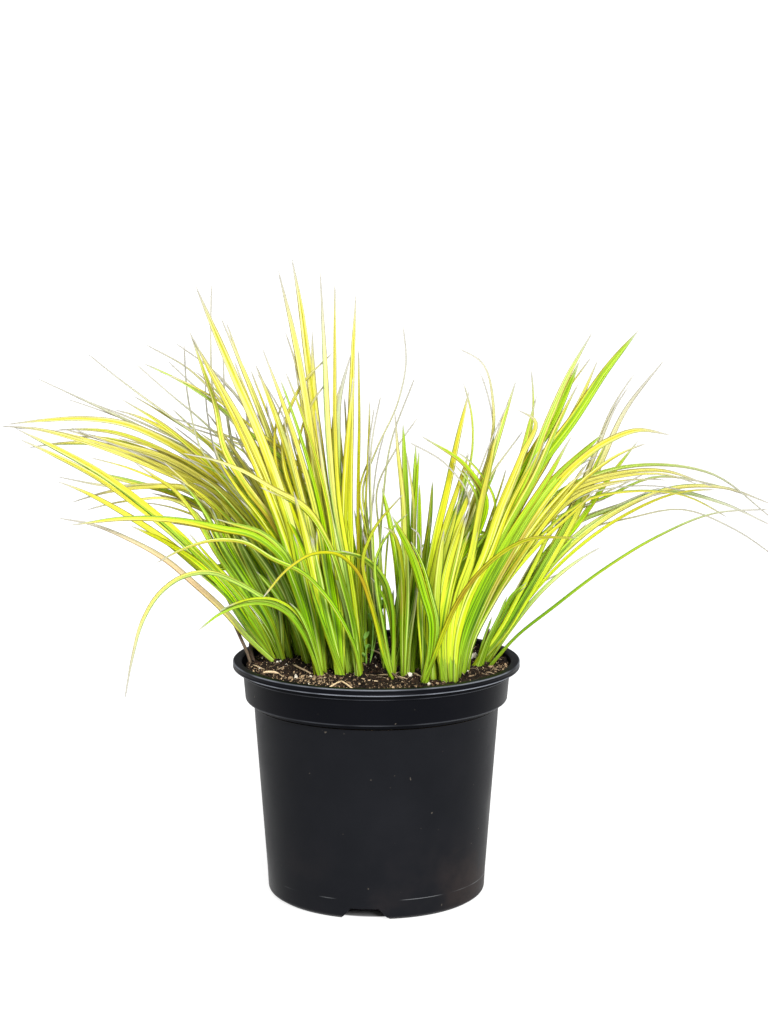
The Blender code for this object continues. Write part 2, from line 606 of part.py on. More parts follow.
class Leaf:
    """One blade as a row of places, with the width and thickness of its flat section at each.

    A surveyed blade shows its face to the eye; another carries on the way that its fan lies.
    """

    def __init__(self, fan, layer, width, turn, places, surveyed=True):
        self.fan = fan
        self.layer = layer
        self.width = width
        self.turn = turn
        self.places = [fan.cap_middle(layer)] + places
        self.along, _ = lengths_along(self.places)
        self.flat_at = self.flat_to_eye if surveyed else self.flat_carried_on

    def half_width(self, index):
        if index == 0:
            return SHEATH_WIDTH / 2
        t = self.along[index]
        return self.width / 2 * (1 - t ** WIDE_UNTIL) ** TIP_ROUNDING

    def half_thickness(self, index):
        t = self.along[index]
        root_share = (1 - t) ** THINNING
        return (BASE_THICKNESS * root_share + TIP_THICKNESS * (1 - root_share)) / 2

    def tangent(self, index):
        before, here, after = (self.places[i] for i in (index - 1, index, index + 1))
        return unit(unit(here - before) + unit(after - here))

    def flat_to_eye(self, index):
        sight = self.places[index] - Vector((0.0, -EYE_DISTANCE, EYE_HEIGHT))
        return unit(sight.cross(self.tangent(index)))

    def flat_carried_on(self, index):
        """The direction along the fan, carried up the blade with no twist."""
        flat = self.fan.along
        for i in range(1, index + 1):
            tangent = self.tangent(i)
            flat = unit(flat - tangent * flat.dot(tangent))
        return flat

    def axes(self, index):
        """The directions across the blade and through it."""
        if index == 0:
            return self.fan.along, self.fan.through
        tangent = self.tangent(index)
        flat = self.flat_at(index)
        angle = math.radians(self.turn) * min(1.0, self.along[index] * TURNED_BY)
        across = flat * math.cos(angle) + tangent.cross(flat) * math.sin(angle)
        return across, tangent.cross(across)

    def ring(self, index, extra=0.0):
        across, through = self.axes(index)
        wide = self.half_width(index) + extra
        thick = self.half_thickness(index) + extra
        here = self.places[index]
        signs = ((-1, -1), (1, -1), (1, 1), (-1, 1))
        return [here + across * wide * a + through * thick * b for a, b in signs]

    def hull(self, start, extra):
        """The blade from this ring to its tip as a search tree, grown by the extra all round."""
        corners = []
        faces = []
        last = len(self.places) - 1
        for index in range(start, last):
            corners += self.ring(index, extra)
        if start == 0:
            corners += [corner - Vector((0.0, 0.0, SHEATH_TOP - SHEATH_FOOT)) for corner in corners[:4]]
            faces += band(0, len(corners) - 4)
        for ring in range(last - 1 - start):
            faces += band(ring * 4, ring * 4 + 4)
        low = (last - 1 - start) * 4
        corners.append(self.places[last])
        faces += [(low + side, low + (side + 1) % 4, len(corners) - 1) for side in range(4)]
        return BVHTree.FromPolygons(corners, faces)

    def box(self):
        corners = [corner for index in range(len(self.places) - 1) for corner in self.ring(index, CLEARANCE)]
        corners.append(self.places[-1])
        corners.append(corners[0] - Vector((0.0, 0.0, SHEATH_TOP - SHEATH_FOOT)))
        xs, ys, zs = ([corner[i] for corner in corners] for i in range(3))
        return min(xs), max(xs), min(ys), max(ys), min(zs), max(zs)


def band(low, high):
    """The four sides between two rings of four corners."""
    return [(low + side, low + (side + 1) % 4, high + (side + 1) % 4, high + side) for side in range(4)]


def boxes_meet(first, second):
    return all(
        first[2 * i] <= second[2 * i + 1] and second[2 * i] <= first[2 * i + 1] for i in range(3)
    )


def surveyed_places(fan, layer, readings, lean):
    """The readings put at their depths: from the root's depth, the blade leans off in a curve."""
    root = fan.cap_middle(layer)
    flat = [Vector(seen_at(root))] + [Vector(reading) for reading in readings]
    along, _ = lengths_along(flat)
    spread = (layer - (fan.count - 1) / 2) * LAYER_SPREAD
    places = []
    for t, reading in zip(along[1:], readings):
        depth = root.y + spread * min(1.0, t * 5) + lean * t ** 1.5
        places.append(sight_point(reading[0], reading[1], depth))
    return places


def lean_of(fan, readings, share):
    """How far the tip leans in depth, from how much shorter than usual the leaf looks."""
    flat = [Vector(seen_at(fan.cap_middle(0)))] + [Vector(reading) for reading in readings]
    _, seen = lengths_along(flat)
    hidden = math.sqrt(max(FULL_LENGTH ** 2 - seen ** 2, 30.0 ** 2))
    return share * min(hidden, MOST_LEAN * seen)


class Clump:
    """All blades placed so far, so that each new one can be led clear of them."""

    def __init__(self):
        self.fans = []
        self.placed = []

    def is_clear(self, leaf):
        """True when the blade and its part of the sheath keep off every blade placed so far.

        Leaves of one fan start side by side in its sheath, so there they may touch but not cross.
        """
        whole, upper = leaf.hull(0, CLEARANCE), leaf.hull(1, CLEARANCE)
        bare, box = leaf.hull(0, -TOUCH), leaf.box()
        for fan, other_whole, other_upper, other_box in self.placed:
            if not boxes_meet(box, other_box):
                continue
            if fan is leaf.fan:
                meets = upper.overlap(other_upper) or bare.overlap(other_whole)
            else:
                meets = whole.overlap(other_whole)
            if meets:
                return False
        return True

    def place_fan(self, fan, tries_by_layer):
        """Gives each layer of the fan the first of its tries that is clear, or leaves the whole fan out."""
        for tries in tries_by_layer:
            leaf = next(filter(self.is_clear, tries), None)
            if leaf is None:
                self.placed = [entry for entry in self.placed if entry[0] is not fan]
                return
            self.placed.append((fan, leaf.hull(0, 0.0), leaf.hull(1, 0.0), leaf.box()))
            fan.leaves.append(leaf)
        self.fans.append(fan)


def side_steps(step, most):
    """0, then one step each way, then two, up to the most."""
    found = [0.0]
    for i in range(1, int(most / step) + 1):
        found += [i * step, -i * step]
    return found


def surveyed_tries(fan, layer, reading):
    """The leaf as it was read, then the same view of it with its tip nearer or farther."""
    width, face_turn, share, *readings = reading
    readings = filled_in(fan.root, readings)
    lean = lean_of(fan, readings, share)
    for shift in side_steps(LEAN_STEP, MOST_LEAN_SHIFT):
        yield Leaf(fan, layer, width, face_turn, surveyed_places(fan, layer, readings, lean + shift))


def place_surveyed(clump, survey):
    for root, turn, leaves in survey:
        fan = Fan(root, turn, len(leaves))
        clump.place_fan(fan, (surveyed_tries(fan, layer, reading) for layer, reading in enumerate(leaves)))


def back_places(root, heading, reach, rise):
    """A leaf that leans away from the viewer: it climbs, arches over and comes down a little."""
    places = []
    for i in range(1, FILLED_READINGS + 1):
        t = i / FILLED_READINGS
        out = reach * t ** BACK_BEND
        up = rise * math.sin(t * BACK_ARCH)
        sideways = Vector((math.cos(heading) * out, math.sin(heading) * out, up))
        places.append(root + sideways)
    return places


def back_leaves(fan, layer, outward, chance):
    """Many likely leaves for this place in a fan behind, each inside the tuft's outline."""
    for _ in range(BACK_TRIES):
        heading = outward + (1 - layer) * BACK_LAYER_HEADING + chance.uniform(-BACK_HEADING, BACK_HEADING)
        reach = chance.uniform(*BACK_REACH)
        rise = chance.uniform(*BACK_RISE)
        places = back_places(fan.cap_middle(layer), heading, reach, rise)
        if all(inside_tuft(place) for place in places):
            width = chance.uniform(*BACK_WIDTH)
            turn = chance.uniform(-BACK_FACE_TURN, BACK_FACE_TURN)
            yield Leaf(fan, layer, width, turn, places, surveyed=False)


def place_back(clump):
    chance = random.Random(SEED)
    for root in BACK_ROOTS:
        fan = Fan(root, chance.uniform(-BACK_FAN_TURN, BACK_FAN_TURN), BACK_LAYERS)
        outward = math.atan2(root[1] - CLUMP_MIDDLE_DEPTH, root[0] * CLUMP_OVAL)
        clump.place_fan(fan, (back_leaves(fan, layer, outward, chance) for layer in range(fan.count)))


def grow_blade(bm, cap, leaf):
    """Draws the blade out of its cap, one ring after another, and closes it at the tip."""
    corners = leaf.ring(0)
    face = cap
    for index in range(1, len(leaf.places)):
        face = bmesh.ops.extrude_discrete_faces(bm, faces=[face])["faces"][0]
        if index == len(leaf.places) - 1:
            bmesh.ops.pointmerge(bm, verts=face.verts, merge_co=leaf.places[index] * MM)
            return
        following = leaf.ring(index)
        for vert in face.verts:
            nearest = min(range(4), key=lambda i: (corners[i] * MM - vert.co).length)
            vert.co = following[nearest] * MM
        corners = following


def fan_mesh(fan):
    """The sheath as a row of caps drawn down into the soil, with a blade drawn out of each cap."""
    bm = bmesh.new()
    bmesh.ops.create_grid(bm, x_segments=1, y_segments=fan.count, size=0.5)
    depth = fan.count * LAYER
    for vert in bm.verts:
        flat = fan.root + fan.along * vert.co.x * SHEATH_WIDTH + fan.through * vert.co.y * depth
        vert.co = (flat + Vector((0.0, 0.0, SHEATH_FOOT))) * MM
    foot = bm.faces[:]
    drawn = bmesh.ops.extrude_face_region(bm, geom=foot, use_keep_orig=True)
    top_verts = [item for item in drawn["geom"] if isinstance(item, bmesh.types.BMVert)]
    caps = [item for item in drawn["geom"] if isinstance(item, bmesh.types.BMFace)]
    bmesh.ops.translate(bm, verts=top_verts, vec=Vector((0.0, 0.0, SHEATH_TOP - SHEATH_FOOT)) * MM)
    caps.sort(key=lambda face: face.calc_center_median().dot(fan.through))
    for leaf in fan.leaves:
        grow_blade(bm, caps[leaf.layer], leaf)
    return mesh_from(bm, "fan")


def pocket_cutter(fan, index, collection):
    """The slot in the soil round the foot of a fan's sheath."""
    bm = bmesh.new()
    bmesh.ops.create_cube(bm, size=1.0)
    foot = SHEATH_FOOT - GAP
    head = SOIL_LEVEL + 4.0
    for vert in bm.verts:
        flat = fan.root + fan.along * vert.co.x * (SHEATH_WIDTH + 2 * GAP)
        flat = flat + fan.through * vert.co.y * (fan.count * LAYER + 2 * GAP)
        vert.co = (flat + Vector((0.0, 0.0, head if vert.co.z > 0 else foot))) * MM
    return new_object(f"pocket_cutter_{index:02d}", mesh_from(bm, "pocket"), collection)


def make_fans(clump, parts):
    green = new_material("leaf_green", (0.22, 0.36, 0.03), 0.4)
    gold = new_material("leaf_gold", (0.55, 0.52, 0.06), 0.4)
    ordered = sorted(clump.fans, key=lambda fan: fan.root.x)
    for index, fan in enumerate(ordered, start=1):
        material = gold if index % 3 == 0 else green
        new_object(f"fan_{index:02d}", fan_mesh(fan), parts, material)
    return ordered


def main():
    clear_scene()
    parts = new_collection("golden_sweet_flag_pot")
    pot_cutters = new_collection("pot_cutters")
    pockets_home = new_collection("soil_pockets")
    clump = Clump()
    for survey in (MIDDLE_TUFT, RIGHT_TUFT, LEFT_TUFT, INNER_LEAVES):
        place_surveyed(clump, survey)
    place_back(clump)
    ordered = make_fans(clump, parts)
    make_pot(parts, pot_cutters)
    pockets = [pocket_cutter(fan, i, pockets_home) for i, fan in enumerate(ordered, start=1)]
    make_soil(parts, pockets_home, pockets)


main()
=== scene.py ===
import math
import random
from functools import cached_property

import bmesh
import bpy
import numpy as np
from mathutils import Euler, Matrix, Vector, noise


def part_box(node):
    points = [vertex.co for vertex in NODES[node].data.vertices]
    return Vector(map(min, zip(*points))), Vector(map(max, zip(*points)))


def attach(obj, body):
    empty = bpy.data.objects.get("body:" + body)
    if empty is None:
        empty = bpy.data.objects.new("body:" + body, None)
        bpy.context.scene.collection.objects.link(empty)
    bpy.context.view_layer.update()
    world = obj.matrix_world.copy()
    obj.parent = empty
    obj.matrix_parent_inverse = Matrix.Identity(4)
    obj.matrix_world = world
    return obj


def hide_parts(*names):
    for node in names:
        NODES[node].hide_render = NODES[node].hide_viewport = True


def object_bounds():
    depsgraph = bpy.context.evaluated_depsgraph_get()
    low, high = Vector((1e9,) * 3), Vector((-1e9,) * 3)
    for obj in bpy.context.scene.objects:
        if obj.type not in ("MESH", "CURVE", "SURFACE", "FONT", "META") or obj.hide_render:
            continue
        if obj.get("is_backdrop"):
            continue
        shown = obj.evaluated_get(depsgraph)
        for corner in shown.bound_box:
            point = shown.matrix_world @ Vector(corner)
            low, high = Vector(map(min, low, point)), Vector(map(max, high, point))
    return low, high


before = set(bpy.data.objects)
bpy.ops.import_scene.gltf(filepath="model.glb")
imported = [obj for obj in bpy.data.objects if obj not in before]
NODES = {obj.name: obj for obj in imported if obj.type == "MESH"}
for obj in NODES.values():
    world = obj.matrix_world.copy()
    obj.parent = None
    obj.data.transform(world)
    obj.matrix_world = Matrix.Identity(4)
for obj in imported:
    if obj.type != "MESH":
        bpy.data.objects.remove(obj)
CAD_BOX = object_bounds()

MM = 0.001
UP = Vector((0.0, 0.0, 1.0))
SEED = 11

# The eye of the picture: where it stands, how far it looks down, its lens and shift in pixels
EYE = Vector((0.0, -1.5, 0.4687))
LOOK_DOWN = math.radians(8.85)
PICTURE_HEIGHT = 1024
FOCUS = 2509.6
SHIFT = 7.63
SENSOR = 36.0

# Pot, in metres, from its own solid and from the mouldings of its wall
POT_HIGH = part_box("pot")[1]
RIM_HEIGHT = POT_HIGH.z
RIM_RADIUS = POT_HIGH.x
WALL = 1.3 * MM
POT_SEGMENTS = 192
# The lip's edges, the shoulder and the collar's foot are where painted highlight lines run.
LIP_EDGES = (RIM_HEIGHT - 3.9 * MM, RIM_HEIGHT - 0.4 * MM)
SHOULDER = RIM_HEIGHT - 7.3 * MM
COLLAR_FOOT = 0.1217
# The mould line is where a painted highlight line runs.
MOULD_LINE = 0.0125
NOTCHES = 3
NOTCH_TURN = math.radians(-6.0)
NOTCH_HEIGHT = 7.2 * MM
NOTCH_BELOW = 1.0 * MM
NOTCH_FOOT_WIDTH = 30.5 * MM
NOTCH_TOP_WIDTH = 17.0 * MM
NOTCH_REACH = 24.0 * MM
FOOT_RADIUS = 64.2 * MM
DRAINS = 6
DRAIN_RADIUS = 4.5 * MM
DRAIN_RING_RADIUS = 46.0 * MM

# Soil: how far it sinks towards the wall and from where, how far out it reaches and how much farther on
# the right, the levels of its skirt and foot, and how far out loose things lie on it
SOIL_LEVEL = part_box("soil")[1].z
SOIL_DIP = 0.9 * MM
DIP_START = 0.058
DIP_WIDTH = 0.020
SOIL_EDGE = 79.5 * MM
SOIL_FILL = 1.4 * MM
SKIRT_LEVEL = 0.112
SOIL_FOOT = 0.010
SOIL_RINGS = 96
SOIL_SEGMENTS = 288
SCATTER_REACH = 0.0788
FIBRE_START = 0.074
FIBRE_REACH = 78.0
FIBRES = 110
# The coarse and the fine crumbs: how many, and their least and largest sizes in millimetres
CRUMBS = ((3000, 0.40, 1.35), (9600, 0.22, 0.66))
# The perlite grains that stand out, as across, back and size in millimetres, and the count of small ones
PERLITE = ((20, -44, 1.6), (60, 10, 2.2), (-48, -38, 1.1), (-39, -44, 0.9), (-12, -36, 1.0), (31, -60, 0.8))
SMALL_PERLITE = 26
LUMP_SHAPES = 14
STRAND_SIDES = 6
# Where golden crumbs lie closest, as across, back and radius in millimetres
GOLDEN_SPOTS = ((-45, -45, 14), (-33, -58, 10), (-20, -66, 9), (76, -12, 12), (10, -66, 8), (-72, -20, 8))

# Leaves of the solids: the heights at which a sheath parts into blades and at which its foot stands
SHEATH_TOP = 0.149
SHEATH_FOOT = 0.134
# How near two corners are in one place or on one level, and how far apart they are round a tip at most
SAME_PLACE = 1e-6
LEVEL_SLACK = 2e-5
MOST_TIP_SPREAD = 0.007
# The leaf in the scene: how finely it is made, how it meets the mix and ends, and its ridged cross-section
SECTIONS = 42
SISTER_SECTIONS = 30
BASE_DEPTH = 0.010
WIDTH_SCALE = 0.91
FOOT_REACH = 0.035
TIP_HALF_WIDTH = 0.65 * MM
TIP_REACH = 5 * MM
RIDGE = (0.0, 0.42, 0.78, 0.94, 1.0)
RIDGE_DEPTH = (1.0, 0.62, 0.42, 0.30, 0.0)

# Light: the share of white that the floor gives by itself, the room's light and how bright the room looks
FLOOR_GLOW = 0.85
ROOM_LIGHT = 0.30
ROOM_WHITE = 1.15

# Looks of a leaf: the yellow share of its width, how orange-brown and how bleached it is, how far up its
# green reaches in metres, and the share of its length that is withered
LOOKS = {
    "green": (0.15, 0.03, 0.03, 0.26, 0.06),
    "deep": (0.15, 0.03, 0.03, 0.36, 0.06),
    "lime": (0.42, 0.04, 0.08, 0.17, 0.11),
    "gold": (0.80, 0.10, 0.08, 0.11, 0.12),
    "lemon": (0.90, 0.04, 0.30, 0.09, 0.18),
    "cream": (0.60, 0.05, 0.55, 0.12, 0.28),
    "amber": (0.75, 0.62, 0.08, 0.10, 0.12),
    "tan": (0.30, 0.95, 0.62, 0.05, 0.40),
    "grey": (0.45, 0.10, 0.60, 0.10, 0.60),
    "dead": (0.20, 0.60, 0.45, 0.02, 0.90),
    "rust": (0.75, 0.75, 0.05, 0.02, 0.05),
    "sunny": (0.74, 0.03, 0.12, 0.015, 0.10),
    "spent": (0.74, 0.03, 0.25, 0.03, 0.50),
    "faded": (0.24, 0.03, 0.15, 0.24, 0.42),
}
# The look of each fan's leaves from front to back, where the picture shows it
LEAF_LOOKS = dict(
    fan_01="tan gold gold", fan_03="gold lemon cream", fan_05="gold lemon lemon", fan_07="gold grey lime",
    fan_09="gold grey lime", fan_12="grey grey cream", fan_13="lime cream lime", fan_14="gold amber lime",
    fan_16="lemon gold grey", fan_21="gold lemon gold", fan_24="lemon gold cream", fan_27="faded green cream",
    fan_28="lime lemon cream", fan_29="amber lime grey", fan_30="lime green", fan_31="grey grey",
    fan_32="rust amber", fan_33="lime lemon green", fan_35="amber lime", fan_37="green green",
    fan_40="rust deep sunny", fan_42="sunny lime cream", fan_44="sunny lime cream", fan_46="sunny lime lime",
    fan_48="deep sunny amber", fan_49="amber sunny lemon", fan_50="faded faded cream",
    fan_51="lime spent lime", fan_52="cream faded faded", fan_53="faded",
)
# Looks of leaves that the picture doesn't show well and of sisters unlike their leaf: in most fans, from the
# first bright one on, and where leaves stand closest
HIDDEN_LOOKS = ("green", "green", "lime", "lime", "sunny", "gold")
BRIGHT_LOOKS = ("sunny", "lime", "lime")
YELLOW_LOOKS = ("lime", "gold", "gold", "lemon", "gold", "cream")
FIRST_BRIGHT_FAN = "fan_40"
FULL_FANS = ("fan_03", "fan_05", "fan_07", "fan_09", "fan_12", "fan_14", "fan_16", "fan_24")
# How many sisters a leaf may have, in most fans and where leaves stand closest
COUNTS = (2, 2, 3, 3, 4)
FULL_COUNTS = (3, 3, 4, 4, 5)
# How far a sister turns from its leaf, least and most in degrees, in the same fans
TURNS = (0.8, 4.5)
FULL_TURNS = (1.4, 7.0)
# Leaves that arch out of the clump alone, by their place in the fan from front to back
ALONE = dict(fan_01=0, fan_13=1, fan_28=0, fan_32=0, fan_40=0, fan_53=0)
# The shares of their solids' widths that narrower leaves have, from each fan's front to its back
NARROW = dict(
    fan_01=(0.78,), fan_03=(0.82, 0.82), fan_05=(0.8, 0.8), fan_09=(0.82, 0.82), fan_13=(0.8,),
    fan_28=(0.72, 0.72), fan_29=(0.75,), fan_31=(0.6, 0.6), fan_32=(0.52, 0.7), fan_35=(0.75, 0.8),
    fan_40=(0.62,), fan_53=(0.7,),
)


def linear(red, green, blue):
    """A colour from its screen values, 0 to 255, as light."""
    def one(value):
        value /= 255
        return value / 12.92 if value <= 0.04045 else ((value + 0.055) / 1.055) ** 2.4
    return one(red), one(green), one(blue), 1.0


class Value:
    """What a node gives at each point, so that a formula of nodes is written as a formula."""

    def __init__(self, graph, socket):
        self.graph = graph
        self.socket = socket

    def __add__(self, other):
        return self.graph.math("ADD", self, other)

    def __sub__(self, other):
        return self.graph.math("SUBTRACT", self, other)

    def __rsub__(self, other):
        return self.graph.math("SUBTRACT", other, self)

    def __mul__(self, other):
        return self.graph.math("MULTIPLY", self, other)

    def __abs__(self):
        return self.graph.math("ABSOLUTE", self)


class Graph:
    """A material's nodes, made in the order in which they are read."""

    def __init__(self, name):
        self.material = bpy.data.materials.new(name)
        self.material.use_nodes = True
        self.nodes = self.material.node_tree.nodes
        self.links = self.material.node_tree.links
        self.shader = self.nodes["Principled BSDF"]

    def put(self, socket, value):
        if isinstance(value, Value):
            self.links.new(value.socket, socket)
        else:
            socket.default_value = value

    def finish(self, colour, rough, **others):
        for name, value in dict(Base_Color=colour, Roughness=rough, **others).items():
            self.put(self.shader.inputs[name.replace("_", " ")], value)
        return self.material

    def value(self, kind, inputs, output=0, **settings):
        """What a new node gives, from its inputs by name or number and its settings."""
        node = self.nodes.new("ShaderNode" + kind)
        for name, setting in settings.items():
            setattr(node, name, setting)
        for key, given in inputs.items():
            self.put(node.inputs[key], given)
        return Value(self, node.outputs[output])

    def carried(self, name, output="Fac"):
        """What the mesh's own points carry under the name."""
        return self.value("Attribute", {}, output, attribute_name=name)

    @cached_property
    def place(self):
        """Where a point lies in the object."""
        return self.value("TexCoord", {}, "Object")

    def split(self, vector):
        node = self.nodes.new("ShaderNodeSeparateXYZ")
        self.put(node.inputs[0], vector)
        return [Value(self, output) for output in node.outputs]

    def join(self, x, y, z):
        return self.value("CombineXYZ", {0: x, 1: y, 2: z})

    def math(self, operation, *values):
        return self.value("Math", dict(enumerate(values)), operation=operation)

    def larger(self, first, second):
        return self.math("MAXIMUM", first, second)

    def from_axis(self, x, y):
        return self.math("SQRT", x * x + y * y)

    def step(self, value, low, high, least=0.0, most=1.0):
        """A smooth step of the value from least, at low, to most, at high."""
        inputs = dict(enumerate((value, low, high, least, most)))
        return self.value("MapRange", inputs, interpolation_type="SMOOTHSTEP")

    def noise(self, scale, detail, roughness=0.5, place=None):
        inputs = {"Vector": place or self.place, "Scale": scale, "Detail": detail, "Roughness": roughness}
        return self.value("TexNoise", inputs, "Fac")

    def mix(self, share, first, second, blend="MIX"):
        return self.value("Mix", {0: share, 6: first, 7: second}, 2, data_type="RGBA", blend_type=blend)

    def bump(self, height, strength, distance):
        return self.value("Bump", {"Strength": strength, "Distance": distance, "Height": height})


class LeafGraph(Graph):
    """A leaf's nodes, with what its points carry, the noises drawn out along it and its two bands."""

    def __init__(self):
        super().__init__("leaf")
        self.across, self.along, self.reach = self.split(self.carried("blade", "Vector"))
        self.gold, self.warm, self.pale = self.split(self.carried("tone", "Vector"))
        self.green_reach, self.dry, self.seed = self.split(self.carried("extra", "Vector"))
        self.off_ridge = abs(self.across)
        self.streaks = self.drawn(1.9, 6, 3, 0.6)
        self.veins = self.step(self.drawn(3.4, 8, 3, 0.65), 0.34, 0.66)
        self.blotches = self.drawn(1.6, 60, 3, 0.6)
        self.lines = self.drawn(2.1, 5, 2)
        self.away = self.from_green() + (self.streaks - 0.5) * 0.9
        rise = self.step(self.reach, self.green_reach * 0.5, self.green_reach)
        self.edge = 1.0 - (self.gold * rise + 0.16)
        self.band = self.step(self.away, self.edge - 0.07, self.edge + 0.07)

    def drawn(self, width_scale, length_scale, detail, roughness=0.5):
        """Noise drawn out along the leaf, and different on each leaf."""
        shift = self.seed * 37.0
        place = self.join((self.across + shift) * width_scale, self.reach * length_scale, shift)
        return self.noise(1, detail, roughness, place)

    def from_green(self):
        """How far a point lies from the green, which keeps to one edge of a leaf or to its ridge."""
        side = self.step(self.math("FRACT", self.seed * 7.0), 0.49, 0.51) * 2.0 - 1.0
        one_edge = self.across * side * 0.5 + 0.5
        on_ridge = self.step(self.seed, 0.60, 0.62)
        return one_edge * (1.0 - on_ridge) + self.off_ridge * on_ridge


def fresh_leaf(g):
    """Veined green and yellow bands, which turn brighter above the foot, with painted highlights as light
    lines.
    """
    deep = g.mix(g.veins, linear(48, 92, 0), linear(144, 202, 6))
    bright = g.mix(g.veins, linear(106, 150, 0), linear(184, 220, 10))
    green = g.mix(g.step(g.reach, 0.015, 0.13), deep, bright)
    lime = g.mix(g.veins, linear(174, 200, 8), linear(218, 235, 40))
    yellow = g.mix(g.veins, linear(180, 172, 12), linear(216, 208, 18))
    colour = g.mix(g.band, green, g.mix(g.step(g.reach, 0.05, 0.15), lime, yellow))
    colour = g.mix(g.step(g.reach, 0.040, 0.008, 0.0, 0.30), colour, linear(196, 216, 70))
    # Painted highlights: pale lines along the leaf.
    return g.mix(g.step(g.lines, 0.59, 0.65) * 0.62, colour, linear(240, 248, 150))


def browning(g):
    """Brown blotches low on the leaf but above its foot, and all the way up a pale one."""
    least = g.warm * -0.45
    blotches = g.warm * g.step(g.blotches, least + 0.60, least + 0.78) * g.step(g.reach, 0.01, 0.08)
    low_down = g.step(g.along, 0.70, 0.42) * g.step(g.reach, 0.16, 0.10)
    return blotches * g.larger(low_down, g.step(g.pale, 0.40, 0.50))


def bleaching_and_glare(g):
    """Bleached streaks towards the tip of a pale leaf, and painted glare high up along the edges of all but
    deep ones.
    """
    to_tip = g.pale * g.step(g.along, 0.1, 0.9, 0.15, 1.0)
    # Painted glare: pale streaks along the edges high up.
    glare_high_up = g.step(g.reach, 0.10, 0.24, 0.0, 0.90) * g.step(g.green_reach, 0.33, 0.29, 0.25, 1.0)
    glare_high_up = glare_high_up * g.step(g.off_ridge, 0.15, 0.80, 0.15, 1.0)
    return g.larger(to_tip, glare_high_up) * g.step(g.streaks, 0.25, 0.65, 0.55, 1.0)


def painted_shade_lines(g):
    """Painted shade: dark lines between the bands, thin ones along the leaf and uneven ones by its edges."""
    boundary = g.step(abs(g.away - g.edge), 0.10, 0.02) * 0.30
    thin = g.step(abs(g.lines - 0.5), 0.030, 0.008) * 0.55
    widths = g.larger(g.math("DIVIDE", g.carried("wide"), 0.0016), 1.0)
    rim = g.step((1.0 - g.off_ridge) * widths, 0.42, 0.16) * g.step(g.blotches, 0.30, 0.56, 0.45, 0.85)
    return g.larger(g.larger(boundary, thin), rim)


def leaf_material():
    """Green and yellow lengthwise bands with fine veins, painted shade as dark edge lines, painted highlights
    and glare, blotches and a withered tip.
    """
    g = LeafGraph()
    brown = g.mix(g.step(g.pale, 0.42, 0.60), linear(166, 124, 30), linear(196, 148, 116))
    colour = g.mix(browning(g), fresh_leaf(g), brown)
    colour = g.mix(bleaching_and_glare(g), colour, linear(236, 233, 180))
    withered = g.step(g.along, 1.0 - g.dry, 1.0)
    colour = g.mix(withered, colour, linear(190, 187, 176))
    yellow_shade = g.mix(g.step(g.reach, 0.10, 0.20), linear(120, 110, 20), linear(140, 130, 44))
    shade = g.mix(withered, g.mix(g.band, linear(84, 110, 18), yellow_shade), linear(150, 147, 143))
    # Painted shade: the dark lines darken the colour by multiplying it.
    colour = g.mix(painted_shade_lines(g), colour, shade, "MULTIPLY")
    relief = g.bump(g.veins * 0.7 + g.lines * 0.8, 0.45, 0.0006)
    return g.finish(colour, g.step(g.streaks, 0.2, 0.8, 0.38, 0.55), Normal=relief, Specular_IOR_Level=0.06)


def pot_dust_and_painted_light(g, x, z, cloud):
    """Patches of dried dust, most of it by the foot and on the right, where the patches on the sunny side are
    partly painted light.
    """
    low = g.step(z, 0.06, 0.006) * 0.5 + 0.04
    sunny = g.step(x, 0.020, 0.060) * 0.24 + 0.10
    return g.step(cloud, 0.44, 0.72) * low * sunny


def pot_painted_highlights(g, x, y, z, turned):
    """Painted highlight lines along the lip's two edges, and faint ones at the shoulder and the collar's
    foot.
    """
    def line(height, softness):
        return g.step(abs(z - height), softness, 0.0001)

    low_edge, high_edge = (line(height, 0.0006) for height in LIP_EDGES)
    lip = g.step(g.from_axis(x, y), 0.0864, 0.0872) * g.larger(low_edge, high_edge * 0.7)
    below = g.larger(line(SHOULDER, 0.0005), line(COLLAR_FOOT, 0.0006)) * 0.18
    return g.larger(lip, below) * g.step(turned, 0.32, 0.60, 0.25, 0.95)


def pot_material():
    """Moulded black plastic: fine grain and specks, dust that is partly painted light on the right, painted
    shade on the collar, and painted highlight lines at the mould line, the lip's edges, the shoulder and the
    collar's foot.
    """
    g = Graph("pot_plastic")
    x, y, z = g.split(g.place)
    cloud = g.noise(24, 4, 0.6)
    specks = g.step(g.noise(420, 1), 0.79, 0.82)
    turned = g.noise(1, 1, place=g.join(x * 40.0, y * 40.0, 0.0))
    # Painted highlight: a thin light line round the pot at the mould line, broken up by noise.
    mould_line_highlight = g.step(abs(z - MOULD_LINE), 0.00032, 0.00008) * g.step(turned, 0.44, 0.66)
    body = g.mix(cloud, linear(15, 16, 19), linear(25, 26, 30))
    # Painted shade: the collar is a darker copy of the body's plastic, for the shade under the lip.
    collar = g.mix(cloud, linear(6, 7, 11), linear(11, 12, 17))
    colour = g.mix(g.step(z, 0.116, 0.123), body, collar)
    # Painted highlights: light lines along the lip's edges, the shoulder and the collar's foot.
    colour = g.mix(pot_painted_highlights(g, x, y, z, turned), colour, linear(122, 126, 134))
    # Dust, partly painted light on the sunny right.
    colour = g.mix(pot_dust_and_painted_light(g, x, z, cloud), colour, linear(84, 68, 58))
    colour = g.mix(specks * 0.35, colour, linear(120, 112, 100))
    # The painted highlight at the mould line.
    colour = g.mix(mould_line_highlight * 0.75, colour, linear(104, 106, 108))
    relief = g.bump(g.noise(2600, 2) * 0.5 + cloud, 0.12, 0.0004)
    return g.finish(colour, g.step(cloud, 0.3, 0.7, 0.34, 0.44), Normal=relief, Specular_IOR_Level=0.04)


